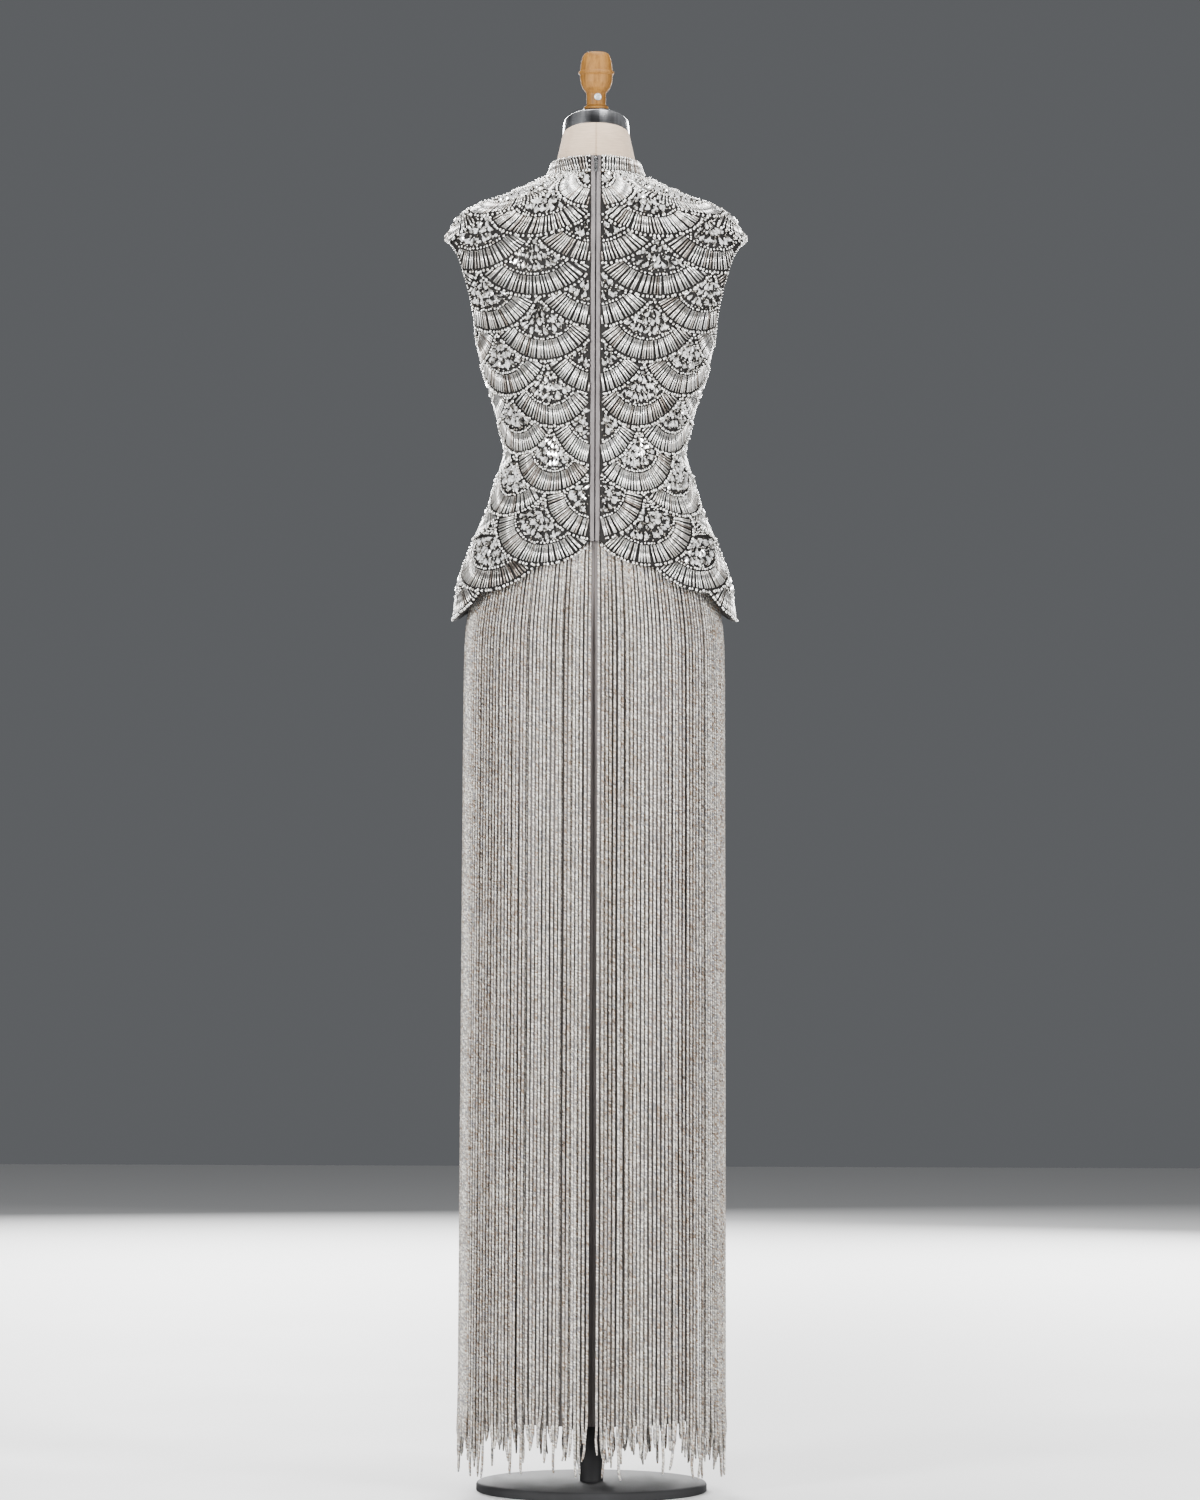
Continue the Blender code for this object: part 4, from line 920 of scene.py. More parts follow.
def scatter_on_fans(share, turn, fan, radius):
    """Places given by fan, share and turn, kept where no higher fan covers them."""
    girth, height = polar_points(fan, share, turn)
    number, angle, exists = on_bodice(girth, height)
    keep = exists & (top_fan(girth, height)[0] == fan) & allowed(number, angle, girth, exists, radius)
    n2, a2, _ = on_bodice(*polar_points(fan, share + 0.02, turn))
    a2 = np.where(np.abs(a2 - angle) > 1, angle, a2)
    start, _, along, across, out = frame_at(number, angle, n2, a2)
    return keep, girth, start, along, across, out


round_glass, shader, place = material("round_bead_glass", (0.85, 0.83, 0.80), 0.16, 0.6,
                                      coat_weight=1.0, coat_roughness=0.05)
wire(shader, "Base Color", tone(place, "tone").ramp(*ROUND_COLOURS))

for index, (share, count, radius) in enumerate(BEAD_LINES):
    turns = np.linspace(-LINE_SPREAD, LINE_SPREAD, count)
    fan = np.repeat(np.arange(len(FANS)), count)
    turn = np.tile(turns, len(FANS)) + chance.normal(0, 0.012, count * len(FANS))
    share_jitter = share + chance.normal(0, 0.006, len(fan))
    places = scatter_on_fans(np.minimum(share_jitter, 0.995), turn, fan, radius * MM)
    keep, girth, start, along, across, out = places
    size = radius * MM * chance.uniform(0.85, 1.08, len(fan))[:, None]
    start = start + out * (fan_height(np.full(len(fan), share))[:, None] + size * 0.95)
    tones = np.clip(chance.normal(0.62, 0.25, len(fan)), 0, 1)
    lay_by_panel(f"arc_beads_{index}", keep, girth, ball_shape(), start, along * size, across * size,
                 out * size, round_glass, tones)

# Clusters: cut crystal stones, teardrops among round ones, that radiate from each fan's pole and are sewn
# to the net.
# The ramp's near-black and white ends also serve the painted glints on the stones' facets
CRYSTAL_AND_GLINT_COLOURS = ((0.0, (0.03, 0.028, 0.026)), (0.28, (0.22, 0.21, 0.19)), (0.5, (0.80, 0.79, 0.77)),
                   (1.0, (1.0, 1.0, 1.0)))
# Painted glints: how far each facet of a stone is lightened or darkened at random
PAINTED_FACET_GLINTS = 0.42


def stone_shape(outline):
    """Cut stone: an outline at the girdle, and a smaller table above it. Length, width and height are 1."""
    rim = np.array(outline, float)
    sides = len(rim)
    foot, girdle, table = (np.column_stack([rim * size, np.full(sides, height)])
                           for size, height in ((1, 0), (0.97, 0.3), (0.52, 1)))
    points = np.concatenate([foot, girdle, table])
    faces = [(level + s, level + (s + 1) % sides, level + sides + (s + 1) % sides, level + sides + s)
             for level in (0, sides) for s in range(sides)]
    faces.append(tuple(range(2 * sides, 3 * sides)))
    return points, faces, [False] * len(faces)


# Outlines as (along, across) in half lengths, counter-clockwise seen from above
TEARDROP = stone_shape([(-1, 0), (-0.2, -0.62), (0.35, -0.95), (0.82, -0.6), (1, 0), (0.82, 0.6),
                        (0.35, 0.95), (-0.2, 0.62)])
ROUND = stone_shape([(math.cos(t), math.sin(t)) for t in np.linspace(0, 2 * math.pi, 7, endpoint=False)])
# Columns: share of the fan's radius, count, spread in degrees, shape, length, width and height in millimetres
CLUSTER = (
    (0.06, 1, 0, ROUND, 6.2, 6.2, 3.0),
    (0.17, 6, 70, TEARDROP, 10.0, 6.4, 3.4),
    (0.31, 10, 76, TEARDROP, 11.2, 6.8, 3.6),
    (0.315, 11, 80, ROUND, 4.8, 4.8, 2.9),
    (0.46, 15, 78, TEARDROP, 10.6, 6.4, 3.4),
    (0.485, 16, 81, ROUND, 4.8, 4.8, 3.0),
)

crystal, shader, place = material("cut_crystal", (0.85, 0.85, 0.85), 0.1, 0.4,
                                  coat_weight=1.0, coat_roughness=0.02)
wire(shader, "Base Color", tone(place, "tone").ramp(*CRYSTAL_AND_GLINT_COLOURS))

for index, (share, count, spread, shape, long, wide, high) in enumerate(CLUSTER):
    turns = np.linspace(-math.radians(spread), math.radians(spread), count) if count > 1 else np.zeros(1)
    fan = np.repeat(np.arange(len(FANS)), count)
    turn = np.tile(turns, len(FANS)) + chance.normal(0, 0.05, count * len(FANS))
    place_share = share + chance.normal(0, 0.015, len(fan))
    keep, girth, start, along, across, out = scatter_on_fans(np.abs(place_share), turn, fan, wide / 2 * MM)
    twist = chance.normal(0, 0.22, len(fan))[:, None]
    forward = along * np.cos(twist) + across * np.sin(twist)
    aside = across * np.cos(twist) - along * np.sin(twist)
    size = chance.uniform(0.85, 1.12, len(fan))[:, None] * MM / 2
    start = start + out * (fan_height(np.full(len(fan), share))[:, None] + 0.3 * MM)
    tones = np.clip(chance.normal(0.6, 0.22, len(fan)), 0, 1)
    lay_by_panel(f"stones_{index}", keep, girth, shape, start, forward * size * long, aside * size * wide,
                 out * high * MM, crystal, tones, PAINTED_FACET_GLINTS)

# Filling beads: round silvered glass where neither bugles nor stones reach, beside the fans' poles and
# where no fan lies.
FILLING_STEPS = (0.05, 3.4 * MM)
FILLING_SPREADS = (0.01, 0.4 * MM)
FILLING_HEIGHTS = (-290 * MM, 500 * MM)
HEM_MARGIN = 2.5 * MM
FILLING_RADII = (1.2, 1.9)
FILLING_MARGIN = 1.7 * MM
# Shares of a fan's radius between which the corners beside its outermost bugles are filled
CORNER_SHARES = (0.63, 0.95)

grid = np.meshgrid(np.arange(-HALF_TURN_UNITS, HALF_TURN_UNITS, FILLING_STEPS[0]),
                   np.arange(*FILLING_HEIGHTS, FILLING_STEPS[1]))
girth, height = (line.ravel() + chance.normal(0, spread, line.size)
                 for line, spread in zip(grid, FILLING_SPREADS))
owner, share = top_fan(girth, height)
column, bottom = np.array([place[:2] for place in FANS])[owner].T
turn = np.arctan2(from_centre(girth, column) / FAN_HALF_WIDTH, (bottom + FAN_RADIUS - height) / FAN_RADIUS)
in_band = (share > CORNER_SHARES[0]) & (share < CORNER_SHARES[1])
bare = (owner < 0) | (in_band & (np.abs(turn) > BUGLE_TURN + 0.05))
girth, height, share = (line[bare] for line in (girth, height, share))
number, angle, exists = on_bodice(girth, height)
above = on_bodice(girth, height + 2 * MM)
keep = exists & (height > hem_height(girth) + HEM_MARGIN)
keep &= allowed(number, angle, girth, exists, FILLING_MARGIN)
keep &= np.abs(above[1] - angle) < 1
girth, height, share, number, angle = (line[keep] for line in (girth, height, share, number, angle))
start, _, along, across, out = frame_at(number, angle, above[0][keep], above[1][keep])
size = chance.uniform(*FILLING_RADII, len(girth))[:, None] * MM
start = start + out * (fan_height(share)[:, None] + size * 0.9)
tones = np.clip(chance.normal(0.6, 0.25, len(girth)), 0, 1)
lay_by_panel("filling_beads", np.full(len(girth), True), girth, ball_shape(), start, along * size,
             across * size, out * size, round_glass, tones)

# Seed beads: small glass ones between the stones, on a jittered polar grid.
# Columns: share of the fan's radius, count, spread in degrees
SEED_RINGS = ((0.12, 8, 70), (0.245, 14, 80), (0.39, 21, 80), (0.54, 28, 81))
SEED_RADII = (1.1, 1.7)
SEED_MARGIN = 1.3 * MM
SEED_COLOURS = ((0.0, (0.16, 0.14, 0.12)), (0.4, (0.52, 0.49, 0.44)), (0.8, (0.92, 0.91, 0.88)))

seed_glass, shader, place = material("seed_bead_glass", (0.55, 0.52, 0.47), 0.2, 0.6,
                                     coat_weight=0.5, coat_roughness=0.1)
wire(shader, "Base Color", tone(place, "tone").ramp(*SEED_COLOURS))

fan, share, turn = [], [], []
for ring_share, count, spread in SEED_RINGS:
    fan.append(np.repeat(np.arange(len(FANS)), count))
    share.append(ring_share + chance.normal(0, 0.02, count * len(FANS)))
    turn.append(np.tile(np.radians(np.linspace(-spread, spread, count)), len(FANS))
                + chance.normal(0, 0.06, count * len(FANS)))
fan, share, turn = (np.concatenate(v) for v in (fan, share, turn))
keep, girth, start, along, across, out = scatter_on_fans(share, turn, fan, SEED_MARGIN)
size = chance.uniform(*SEED_RADII, len(fan))[:, None] * MM
start = start + out * (fan_height(share)[:, None] + size * 0.9)
tones = chance.uniform(0, 1, len(fan))
lay_by_panel("seed_beads", keep, girth, ball_shape(), start, along * size, across * size, out * size,
             seed_glass, tones)

# Armholes: their edges are finished with a line of round silvered beads, sewn on one by one, at even
# spacing and just inside the edge.
ARMHOLE_SPACING, ARMHOLE_BEAD = 3.7 * MM, 1.6 * MM
ARMHOLE_STEPS = 90


def bead_line(path, spacing, radius, name):
    """Round beads along a path of points with outward normals, laid at even spacing."""
    points, outs = path
    run = np.concatenate([[0], np.cumsum(np.linalg.norm(np.diff(points, axis=0), axis=1))])
    count = max(int(run[-1] / spacing), 2)
    at = np.linspace(0, run[-1], count) + chance.normal(0, 0.05 * spacing, count)
    place = np.stack([np.interp(at, run, points[:, k]) for k in range(3)], axis=1)
    out = np.stack([np.interp(at, run, outs[:, k]) for k in range(3)], axis=1)
    out /= np.linalg.norm(out, axis=1, keepdims=True)
    side = np.cross(out, [0, 0, 1.0])
    side /= np.linalg.norm(side, axis=1, keepdims=True)
    size = radius * chance.uniform(0.85, 1.1, count)[:, None]
    tones = np.clip(chance.normal(0.62, 0.25, count), 0, 1)
    return lay(name, ball_shape(), place + out * size * 0.9, side * size, np.cross(out, side) * size,
               out * size, round_glass, tones)


numbers = np.linspace(ARMHOLE_EDGES[0][0], ARMHOLE_EDGES[-1][0] - 0.02, ARMHOLE_STEPS)
for behind in (True, False):
    unit = np.interp(numbers, CHART_NUMBERS, CHART_UNIT)
    edge = edge_girth(numbers, behind) + (-1 if behind else 1) * ARMHOLE_BEAD / unit
    for side in (1, -1):
        angles = np.array([angle_of_girth(bodice_ring, n, side * g) for n, g in zip(numbers, edge)])
        path = oval(bodice_ring, numbers, angles), outward(bodice_ring, numbers, angles)
        panel = PANEL_NAMES[(0 if behind else 2) + (side < 0)]
        label = f"armhole_beads_{panel}"
        beadwork[panel].append(bead_line(path, ARMHOLE_SPACING, ARMHOLE_BEAD, label))

# Collar: a stand-up band of net, open at the zip, with upright bugles. It is edged with round beads above,
# below and beside the zip. Columns of its rings: as the bodice's.
COLLAR_RINGS = (
    (1700.6, 9, -20, 65, 60, 50),
    (1711, 10.5, -20, 62, 58, 48.7),
    (1721, 9.5, -20, 57, 56.4, 47.5),
)
COLLAR_ROWS, COLLAR_COLUMNS = 9, 161
COLLAR_MARGIN = 0.3 * MM
COLLAR_SINK, COLLAR_DEPTH = 0.3 * MM, 1.2 * MM
COLLAR_BUGLES = 104
BUGLE_FOOT, BUGLE_TOP = 0.22, 1.8
BUGLE_MARGIN = 4.5 * MM
# Columns: ring number, radius in millimetres, name
COLLAR_LINES = ((0.06, 1.9, "foot"), (1.93, 1.6, "top"))
COLLAR_LINE_STEPS = 240
COLLAR_LINE_MARGIN = 2.2 * MM
BEAD_SPACING_IN_RADII = 2.15
# Beads beside the zip: their spacing, radius and distance from the tape
END_SPACING, END_BEAD, END_MARGIN = 4.0 * MM, 1.9 * MM, 2.0 * MM
COLLAR_END_STEPS = 12

collar_ring = smooth_table(COLLAR_RINGS)


def collar_angles(numbers, steps, margin):
    """Angles round the collar from one side of the zip to the other, for each ring number."""
    rows = []
    for number in numbers:
        quarter = oval(collar_ring, np.full(41, number), np.linspace(0, math.pi / 2, 41))
        unit = np.linalg.norm(np.diff(quarter, axis=0), axis=1).sum() / SIDE_UNIT
        start = (ZIP_HALF_WIDTH + margin) / unit
        girths = np.linspace(start, 2 * HALF_TURN_UNITS - start, steps)
        rows.append(angle_of_girth(collar_ring, number, girths))
    return np.array(rows)


def on_collar(numbers, angles, lift=0.0):
    """Points of the collar's surface, lifted off it along its normals, and the normals."""
    normals = outward(collar_ring, numbers, angles)
    return oval(collar_ring, numbers, angles) + normals * lift, normals


collar_numbers = np.linspace(0, len(COLLAR_RINGS) - 1, COLLAR_ROWS)
angles = collar_angles(collar_numbers, COLLAR_COLUMNS, COLLAR_MARGIN)
collar_cloth, normals = on_collar(np.repeat(collar_numbers[:, None], COLLAR_COLUMNS, 1), angles)
collar_net = thin_wall("collar_net", collar_cloth - normals * COLLAR_SINK,
                       collar_cloth - normals * COLLAR_DEPTH, net, cloth_uv(collar_cloth))
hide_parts("collar")

low_angles, high_angles = collar_angles((BUGLE_FOOT, BUGLE_TOP), COLLAR_BUGLES, BUGLE_MARGIN)
lean = chance.normal(0, 0.006, COLLAR_BUGLES) + 0.05 * np.sin(np.linspace(0, 19, COLLAR_BUGLES))
lean -= 0.1 * np.clip(-2.5 * np.sin(low_angles), 0, 1) * np.clip(np.cos(low_angles) + 0.3, 0, 1)
start, out = on_collar(np.full(COLLAR_BUGLES, BUGLE_FOOT), low_angles, BUGLE_LIFT)
end, _ = on_collar(np.full(COLLAR_BUGLES, BUGLE_TOP), high_angles + lean, BUGLE_LIFT)
along = (end - start) / np.linalg.norm(end - start, axis=1, keepdims=True)
out -= along * np.sum(out * along, axis=1, keepdims=True)
out /= np.linalg.norm(out, axis=1, keepdims=True)
tones = np.clip(0.45 + 0.1 * np.sin(low_angles * 5) + chance.normal(0, 0.28, COLLAR_BUGLES), 0, 1)
collar_pieces = [lay("bugles_collar", tube_shape(BUGLE_SIDES), start, end - start,
                     np.cross(out, along) * BUGLE_RADIUS, out * BUGLE_RADIUS, bugle_glass, tones)]
for number, radius, label in COLLAR_LINES:
    line_angles = collar_angles((number,), COLLAR_LINE_STEPS, COLLAR_LINE_MARGIN)[0]
    path = on_collar(np.full(COLLAR_LINE_STEPS, number), line_angles)
    spacing = BEAD_SPACING_IN_RADII * radius * MM
    collar_pieces.append(bead_line(path, spacing, radius * MM, f"collar_beads_{label}"))
for column, label in ((0, "right"), (1, "left")):
    line_numbers = np.linspace(0.1, 1.9, COLLAR_END_STEPS)
    path = on_collar(line_numbers, collar_angles(line_numbers, 2, END_MARGIN)[:, column])
    collar_pieces.append(bead_line(path, END_SPACING, END_BEAD, f"collar_beads_{label}"))

# Zip tapes: two ribbed woven strips at the centre back, closed edge to edge over the coil, from the collar's
# top to the peplum's hem. They are sewn to the two backs.
ZIP_SLIT = 0.8 * MM
ZIP_TAPE = 1.0 * MM
ZIP_ROWS, ZIP_COLUMNS = 150, 7
TAPE_FACE = 0.1 * MM
ROLL_HEIGHT, ROLL_WIDTH = 0.25 * MM, 0.5 * MM
RIB_ACROSS, RIB_UP = 4200, 5200
TAPE_COLOURS = ((0.25, (0.19, 0.172, 0.172)), (0.75, (0.265, 0.243, 0.243)))

tape, shader, place = material("zip_tape_weave", (0.27, 0.25, 0.26), 0.75, sheen_weight=0.3)
map_place = place.node("ShaderNodeUVMap")
rib = (map_place.part(0) * RIB_ACROSS).maths("SINE") * (map_place.part(1) * RIB_UP).maths("SINE")
wire(shader, "Base Color", (rib * 0.12 + noise(place, 40, 3)).ramp(*TAPE_COLOURS))
bump(shader, rib, 0.00012, 0.8)

hem_number = float(np.interp(-HEM_BELOW_WAIST, CHART_CLIMBS[:, 0], CHART_NUMBERS))
up_the_back = np.linspace(hem_number, TOP_RING, ZIP_ROWS)
up_the_collar = np.linspace(0.2, 2, 12)
back_line = np.concatenate([oval(bodice_ring, up_the_back, np.zeros(ZIP_ROWS)),
                            oval(collar_ring, up_the_collar, np.zeros(12))])
slope = np.gradient(back_line, axis=0)
back_out = np.stack([np.zeros(len(slope)), -slope[:, 2], slope[:, 1]], axis=1)
back_out /= np.linalg.norm(back_out, axis=1, keepdims=True)
tape_pieces = {}
for side, label in ((1, "right"), (-1, "left")):
    columns = np.linspace(ZIP_SLIT, ZIP_HALF_WIDTH, ZIP_COLUMNS) * side
    columns = columns if side > 0 else columns[::-1]
    grid = np.repeat(back_line[:, None], ZIP_COLUMNS, 1)
    grid[..., 0] = columns
    edge_roll = ROLL_HEIGHT * (np.abs(np.abs(columns) - ZIP_SLIT) < ROLL_WIDTH)
    outs = back_out[:, None]
    outer = grid - outs * (TAPE_FACE + edge_roll[None, :, None])
    inner = grid - outs * (ZIP_TAPE - TAPE_FACE)
    piece = thin_wall(f"zip_tape_{label}_strip", outer, inner, tape, cloth_uv(grid))
    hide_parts(f"zip_tape_{label}")
    tape_pieces[f"back_{label}"] = [piece]

# Zip's coil, slider and pull tab: a dark nylon coil behind the slit, and a cast, silvered slider with a pin
# on which the tab's eye turns. The frame's own solids are kept and get these finishes.
TEETH_UP = 5200
COIL_COLOURS = ((0.1, (0.012, 0.011, 0.012)), (0.9, (0.06, 0.055, 0.058)))
SILVER_COLOURS = ((0.3, (0.20, 0.20, 0.205)), (0.7, (0.42, 0.42, 0.42)))

coil, shader, place = material("zip_coil_teeth", (0.03, 0.028, 0.03), 0.45)
teeth = (place.part(2) * TEETH_UP).maths("SINE")
wire(shader, "Base Color", teeth.ramp(*COIL_COLOURS))
bump(shader, teeth, 0.0003, 0.8)

silver, shader, place = material("silvered_zip_metal", (0.62, 0.62, 0.62), 0.25, 1.0)
wear = noise(place, 420, 4)
wire(shader, "Base Color", wear.ramp(*SILVER_COLOURS))
wire(shader, "Roughness", wear * 0.25 + 0.15)
for node, finish in (("zip_coil", coil), ("zip_slider", silver), ("zip_pull", silver)):
    for slot in bpy.data.objects[node].material_slots:
        slot.material = finish

# Fringe: long strands of glass seed beads, some of them two deep, that hang from narrow strips sewn under
# the peplum's hem. Their ends are uneven, wavy and a little hooked.
STRANDS = 168
STRAND_RADIUS = 1.8 * MM
STRAND_SIDES = 6
STRIP_TOP, STRIP_HEIGHT, STRIP_WALL = 1246 * MM, 8 * MM, 1.9 * MM
CENTRE_PART, SIDE_PART = 0.075, 0.045
# Lowest level at which the strands lie on the hip, the level below which they hang free, and how far their
# centre lines stand off the underskirt on the hip
HIP_LEVEL, FREE_LEVEL, OFF_THE_HIP = 1172 * MM, 1110 * MM, 2.6 * MM
HIP_LEVELS = (1.10, 1.12, 1.14, 1.16, 1.18, 1.20, 1.22, 1.238)
# Heights above the floor of the ends of the longest and the shortest strands
LONGEST_TIP, SHORTEST_TIP = 20 * MM, 75 * MM
# Side of the dress, angle from centre back in degrees and extra width in millimetres of the wider gaps
FRINGE_GAPS = ((-1, 14, 1.6), (-1, 19, 1.2), (-1, 30, 2.2), (1, 45, 1.8), (1, 57, 2.2))
GAP_RADIUS, GAP_REACH = 0.15, 0.09
TIP_LENGTH = 90 * MM
SECOND_LAYER = 43
SECOND_RADIUS = 1.6 * MM
SECOND_DEPTH = 3.9 * MM
BEAD_LENGTH = 1.9 * MM
STRIP_COLUMNS = 60
FRINGE_RINGS = ((15, 173, 120, 111), (130, 173, 120, 111), (1110, 168, 117, 108))
# Where strands hang two deep, as angles from centre back in degrees, growing towards +X
DENSE = ((-93, -41), (-12.3, -3.8), (2.4, 10), (10.8, 19.4), (45, 54.6), (58.5, 96), (104, 118), (127, 139),
         (150, 171), (-101, -97), (-128, -110), (-149, -134), (-176, -160))
STRAND_COLOURS = ((0.10, (0.13, 0.105, 0.09)), (0.22, (0.44, 0.33, 0.24)), (0.34, (0.35, 0.36, 0.385)),
                  (0.5, (0.53, 0.485, 0.43)), (0.66, (0.70, 0.66, 0.60)), (0.84, (1.0, 0.975, 0.92)))

fringe_ring = smooth_table([(z, 0, 0, *rest) for z, *rest in FRINGE_RINGS])

strand_glass, shader, place = material("fringe_beads", (0.5, 0.47, 0.43), 0.34, 0.35,
                                       coat_weight=0.4, coat_roughness=0.12)
map_place = place.node("ShaderNodeUVMap")
around = map_place.part(0)
spiral = map_place.part(1) * (1 / BEAD_LENGTH) + around
grain = (around * 3 + spiral * 0.5).maths("FLOOR")
cell = place.node("ShaderNodeCombineXYZ", spiral.maths("FLOOR"), grain, tone(place, "tone") * 977)
speck = cell.node("ShaderNodeTexWhiteNoise", cell)
drift = noise(place, 26, 3)
shade = speck * 0.66 + drift * 0.14 + tone(place, "tone") * 0.2
wire(shader, "Base Color", shade.ramp(*STRAND_COLOURS))
lump = (spiral * math.pi).maths("SINE").maths("ABSOLUTE")
bump(shader, lump, 0.0007, 0.9)


def strand_angles(first, last, count, chance, jitter):
    """Angles of one group's strands, evenly laid by girth, jittered, and parted at the wider gaps."""
    girths = np.linspace(first, last, count)
    girths = girths + chance.uniform(-jitter, jitter, count) * abs(last - first) / (count - 1)
    angles = angle_of_girth(fringe_ring, 2, girths)
    for side, where, extra in FRINGE_GAPS:
        away = angles - side * math.radians(where)
        push = extra * MM / 2 / GAP_RADIUS
        angles = angles + np.sign(away) * push * np.exp(-(away / GAP_REACH) ** 2) * (np.sign(first) == side)
    return np.sort(angles)


def strand_path(angle, tip, sway, inward, looks):
    """Points down a strand: out of the strip, round the hip, straight down, and wavy and hooked at the end.
    The wave is a sine that grows towards the end, and the hook a power of the way along it."""
    out = np.array([math.sin(angle), -math.cos(angle), 0])
    aside = np.array([math.cos(angle), math.sin(angle), 0])
    line = []
    for level in (STRIP_TOP - STRIP_HEIGHT, HIP_LEVEL, FREE_LEVEL, tip):
        if level > FREE_LEVEL:
            number = ring_at_height(underskirt_ring, len(UNDERSKIRT_RINGS), level)
            grown = STRIP_WALL / 2 + 0.3 * MM if level > HIP_LEVEL else OFF_THE_HIP
            line.append(oval(underskirt_ring, float(number), angle) + grown * out)
        else:
            number = ring_at_height(fringe_ring, len(FRINGE_RINGS), level)
            line.append(oval(fringe_ring, float(number), angle))
    line = np.array(line)[::-1]
    line[0] += sway * aside
    end_fine = tip + TIP_LENGTH
    levels = np.concatenate([np.linspace(tip, end_fine, 15), np.linspace(end_fine, 1.08, 9)[1:], HIP_LEVELS])
    path = np.stack([np.interp(levels, line[:, 2], line[:, k]) for k in range(3)], axis=1)
    for _ in range(2):
        path[1:-1] = (path[:-2] + 2 * path[1:-1] + path[2:]) / 4
    path -= inward * out * np.clip((1.2 - path[:, 2:]) / 0.05, 0, 1)
    near_end = np.clip((end_fine - path[:, 2]) / TIP_LENGTH, 0, 1)
    wave, pace, phase, hook, swing = looks
    shift = wave * near_end ** 1.3 * np.sin(near_end * pace + phase) + hook * near_end ** 3.5
    path += aside * shift[:, None] + out * (swing * near_end ** 2)[:, None]
    ripple = 0.35 * MM * np.sin(path[:, 2] * 9 + phase * 3) * np.clip((1.1 - path[:, 2]) / 0.3, 0, 1)
    return path + aside * ripple[:, None], out


def tubes(name, strands, radius, strip):
    """Strands as round tubes, a ring of points at each point of a path, with the strip that they hang from.
    The tubes' seams face the dress."""
    points, faces, uv, tones = [], [], [], []
    turn = math.pi + np.linspace(0, 2 * math.pi, STRAND_SIDES + 1)
    total = 0
    for path, out in strands:
        run = np.concatenate([[0], np.cumsum(np.linalg.norm(np.diff(path, axis=0), axis=1))])
        along = np.gradient(path, axis=0)
        along /= np.linalg.norm(along, axis=1, keepdims=True)
        side = np.cross(along, out)
        side /= np.linalg.norm(side, axis=1, keepdims=True)
        front = np.cross(side, along)
        size = radius * (1 - 0.45 * np.exp(-run / (2.5 * MM)))
        size[-1] = 0.9 * MM
        ring = (path[:, None] + size[:, None, None] * (np.cos(turn)[None, :, None] * front[:, None]
                                                       + np.sin(turn)[None, :, None] * side[:, None]))
        rows, columns = ring.shape[:2]
        points.append(ring.reshape(-1, 3))
        lengths = np.broadcast_arrays(np.linspace(0, 1, columns)[None], run[:, None])
        uv.append(np.stack(lengths, axis=-1).reshape(-1, 2))
        new = [list(f) for f in grid_faces(rows, columns, total)]
        new.append(list(range(total, total + columns - 1))[::-1])
        tones.append(np.full(len(new), chance.uniform(0, 1)))
        faces += new
        total += rows * columns
    if strip is not None:
        rows, columns = strip.shape[:2]
        points.append(strip.reshape(-1, 3))
        uv.append(cloth_uv(strip).reshape(-1, 2))
        new = [list(f) for f in grid_faces(rows, columns, total)]
        tones.append(np.full(len(new), 0.5))
        faces += new
    return make_object(name, np.concatenate(points), faces, strand_glass, uv=np.concatenate(uv),
                       numbers=[("tone", np.concatenate(tones))])


def strip_band(first, last):
    """Closed section of a root strip, swept between two angles."""
    angles = np.linspace(first, last, STRIP_COLUMNS)
    out = np.stack([np.sin(angles), -np.cos(angles), np.zeros(STRIP_COLUMNS)], axis=1)
    rows = []
    for level, depth in ((STRIP_TOP, 0.4 * MM), (STRIP_TOP, 2.2 * MM), (STRIP_TOP - STRIP_HEIGHT, 2.2 * MM),
                         (STRIP_TOP - STRIP_HEIGHT, 0.4 * MM), (STRIP_TOP, 0.4 * MM)):
        number = float(ring_at_height(underskirt_ring, len(UNDERSKIRT_RINGS), level))
        line = oval(underskirt_ring, np.full(STRIP_COLUMNS, number), angles) + depth * out
        line[:, 2] = level
        rows.append(line)
    return np.array(rows)[::-1]


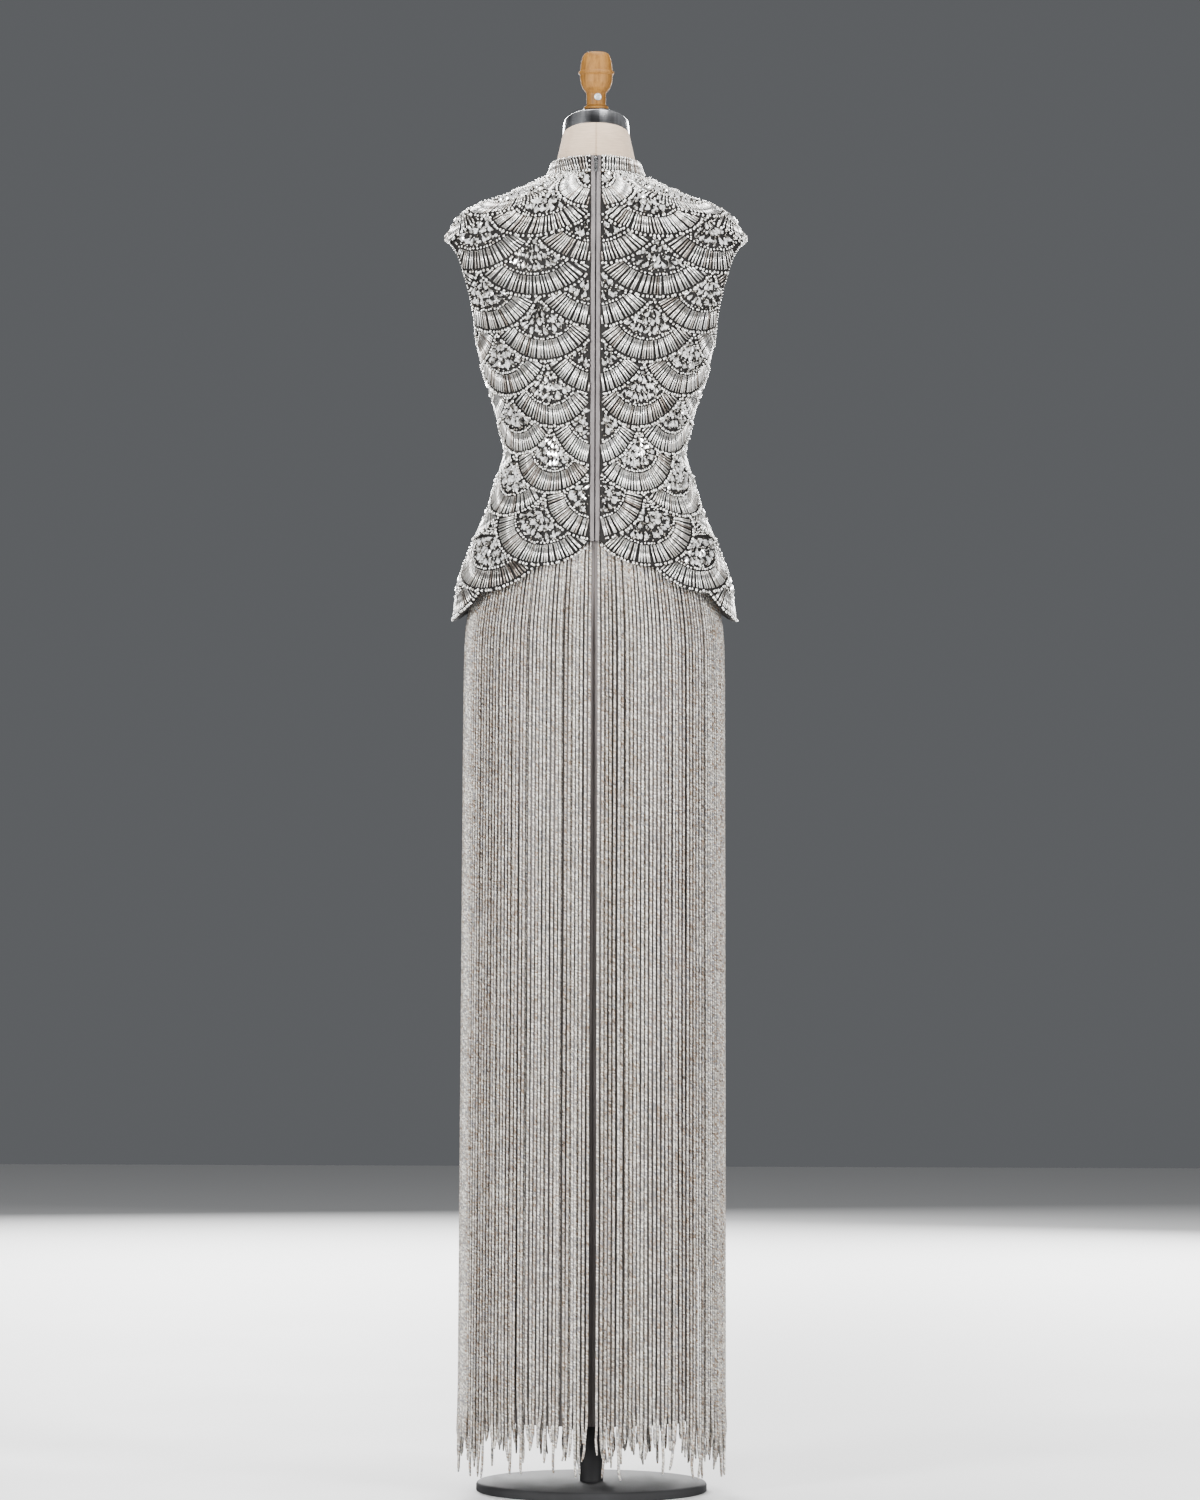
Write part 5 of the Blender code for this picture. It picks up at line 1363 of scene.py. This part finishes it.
solid_chance = np.random.default_rng(7)
fringe_pieces = {}
for name, first, last in (("back_right", CENTRE_PART, SIDE_UNIT - SIDE_PART),
                          ("back_left", -CENTRE_PART, -SIDE_UNIT + SIDE_PART),
                          ("front_right", SIDE_UNIT + SIDE_PART, HALF_TURN_UNITS - CENTRE_PART),
                          ("front_left", -SIDE_UNIT - SIDE_PART, -HALF_TURN_UNITS + CENTRE_PART)):
    if name.startswith("front"):
        last = math.copysign(HALF_TURN_UNITS - SIDE_PART, last)
    angles = strand_angles(first, last, STRANDS // 4, solid_chance, 0.12)
    strands = []
    for angle in angles:
        tip = solid_chance.uniform(LONGEST_TIP, SHORTEST_TIP)
        sway = solid_chance.uniform(-0.6, 0.6) * MM
        reach = SHORTEST_TIP - LONGEST_TIP
        tip = SHORTEST_TIP - reach * ((SHORTEST_TIP - tip) / reach) ** 1.6
        looks = (chance.uniform(0.2, 1.3) * MM, chance.uniform(7, 14), chance.uniform(0, 6),
                 chance.normal(0, 3.0) * MM, chance.normal(0, 1.2) * MM)
        strands.append(strand_path(angle, tip, sway, 0, looks))
    end = 0.3 * (angles[-1] - angles[0]) / (len(angles) - 1)
    strip = strip_band(angles[0] - end, angles[-1] + end)
    piece = tubes(f"fringe_{name}_strands", strands, STRAND_RADIUS, strip)
    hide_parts(f"fringe_{name}")
    strands = []
    for angle in strand_angles(first, last, SECOND_LAYER, chance, 0.3):
        present = any(low < math.degrees(angle) < high for low, high in DENSE) or chance.uniform(0, 1) < 0.06
        looks = (chance.uniform(0.3, 1.5) * MM, chance.uniform(7, 14), chance.uniform(0, 6),
                 chance.normal(0, 2.5) * MM, 0)
        tip = chance.uniform(38, 78) * MM
        if present:
            strands.append(strand_path(angle, tip, 0, SECOND_DEPTH, looks))
    inner = tubes(f"fringe_{name}_under", strands, SECOND_RADIUS, None)
    fringe_pieces[name] = [piece, inner]

# Sewing: for each cloth panel, the beadwork, the fringe and the tape that are sewn to it are gathered, and
# the cut of each panel and of the collar is worked out. The two halves of the front's beadwork belong to
# the one front panel.
beadwork["front_right"] += beadwork.pop("front_left")
fringe_pieces["front_right"] += fringe_pieces.pop("front_left")
for name, node in (("back_right", "bodice_back_right"), ("back_left", "bodice_back_left"),
                   ("front_right", "bodice_front")):
    sewn = [piece for piece in beadwork[name] if piece] + fringe_pieces[name] + tape_pieces.get(name, [])
    declare_sheet(GROUND[node][0])
declare_sheet(collar_cloth)

# Stand: a round steel base with an eased upper edge and a pole that goes up into the dress form, both
# powder-coated black. The form rests on it.
BASE_RADIUS, BASE_HEIGHT = 150 * MM, 12 * MM
POLE_RADIUS = 15 * MM
JOINT_GAP = 0.3 * MM
# Columns: height, and how far the edge has drawn in, in millimetres
BASE_PROFILE = ((0, 1), (1, 0), (8, 0), (10.4, 1.2), (11.6, 3), (12, 6))
BLACK_COLOURS = ((0.3, (0.014, 0.014, 0.015)), (0.7, (0.032, 0.032, 0.034)))

black, shader, place = material("black_stand_metal", (0.02, 0.02, 0.021), 0.7, 0.0)
grit = noise(place, 1400, 3)
wire(shader, "Base Color", noise(place, 12, 3).ramp(*BLACK_COLOURS))
wire(shader, "Roughness", grit * 0.2 + 0.62)
bump(shader, grit, 0.00008, 0.6)

base = lathe("round_base", [(z * MM, BASE_RADIUS - drawn_in * MM) for z, drawn_in in BASE_PROFILE],
             black, 160)
pole = lathe("round_pole", ((BASE_HEIGHT + JOINT_GAP, POLE_RADIUS), (FORM_FOOT - JOINT_GAP, POLE_RADIUS)),
             black, 48)
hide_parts("stand_base")
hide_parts("stand_pole")

# Floor: plain, pale and matt, wide enough for the shadows.
FLOOR_REACH = 7

floor_mesh = bpy.data.meshes.new("floor")
corners = [(x * FLOOR_REACH, y * FLOOR_REACH, 0) for x, y in ((-1, -1), (1, -1), (1, 1), (-1, 1))]
floor_mesh.from_pydata(corners, [], [(0, 1, 2, 3)])
floor = bpy.data.objects.new("floor", floor_mesh)
bpy.context.scene.collection.objects.link(floor)
pale, shader, place = material("floor_paint", (0.60, 0.60, 0.60), 0.7)
wire(shader, "Roughness", noise(place, 3, 2) * 0.1 + 0.62)
floor_mesh.materials.append(pale)
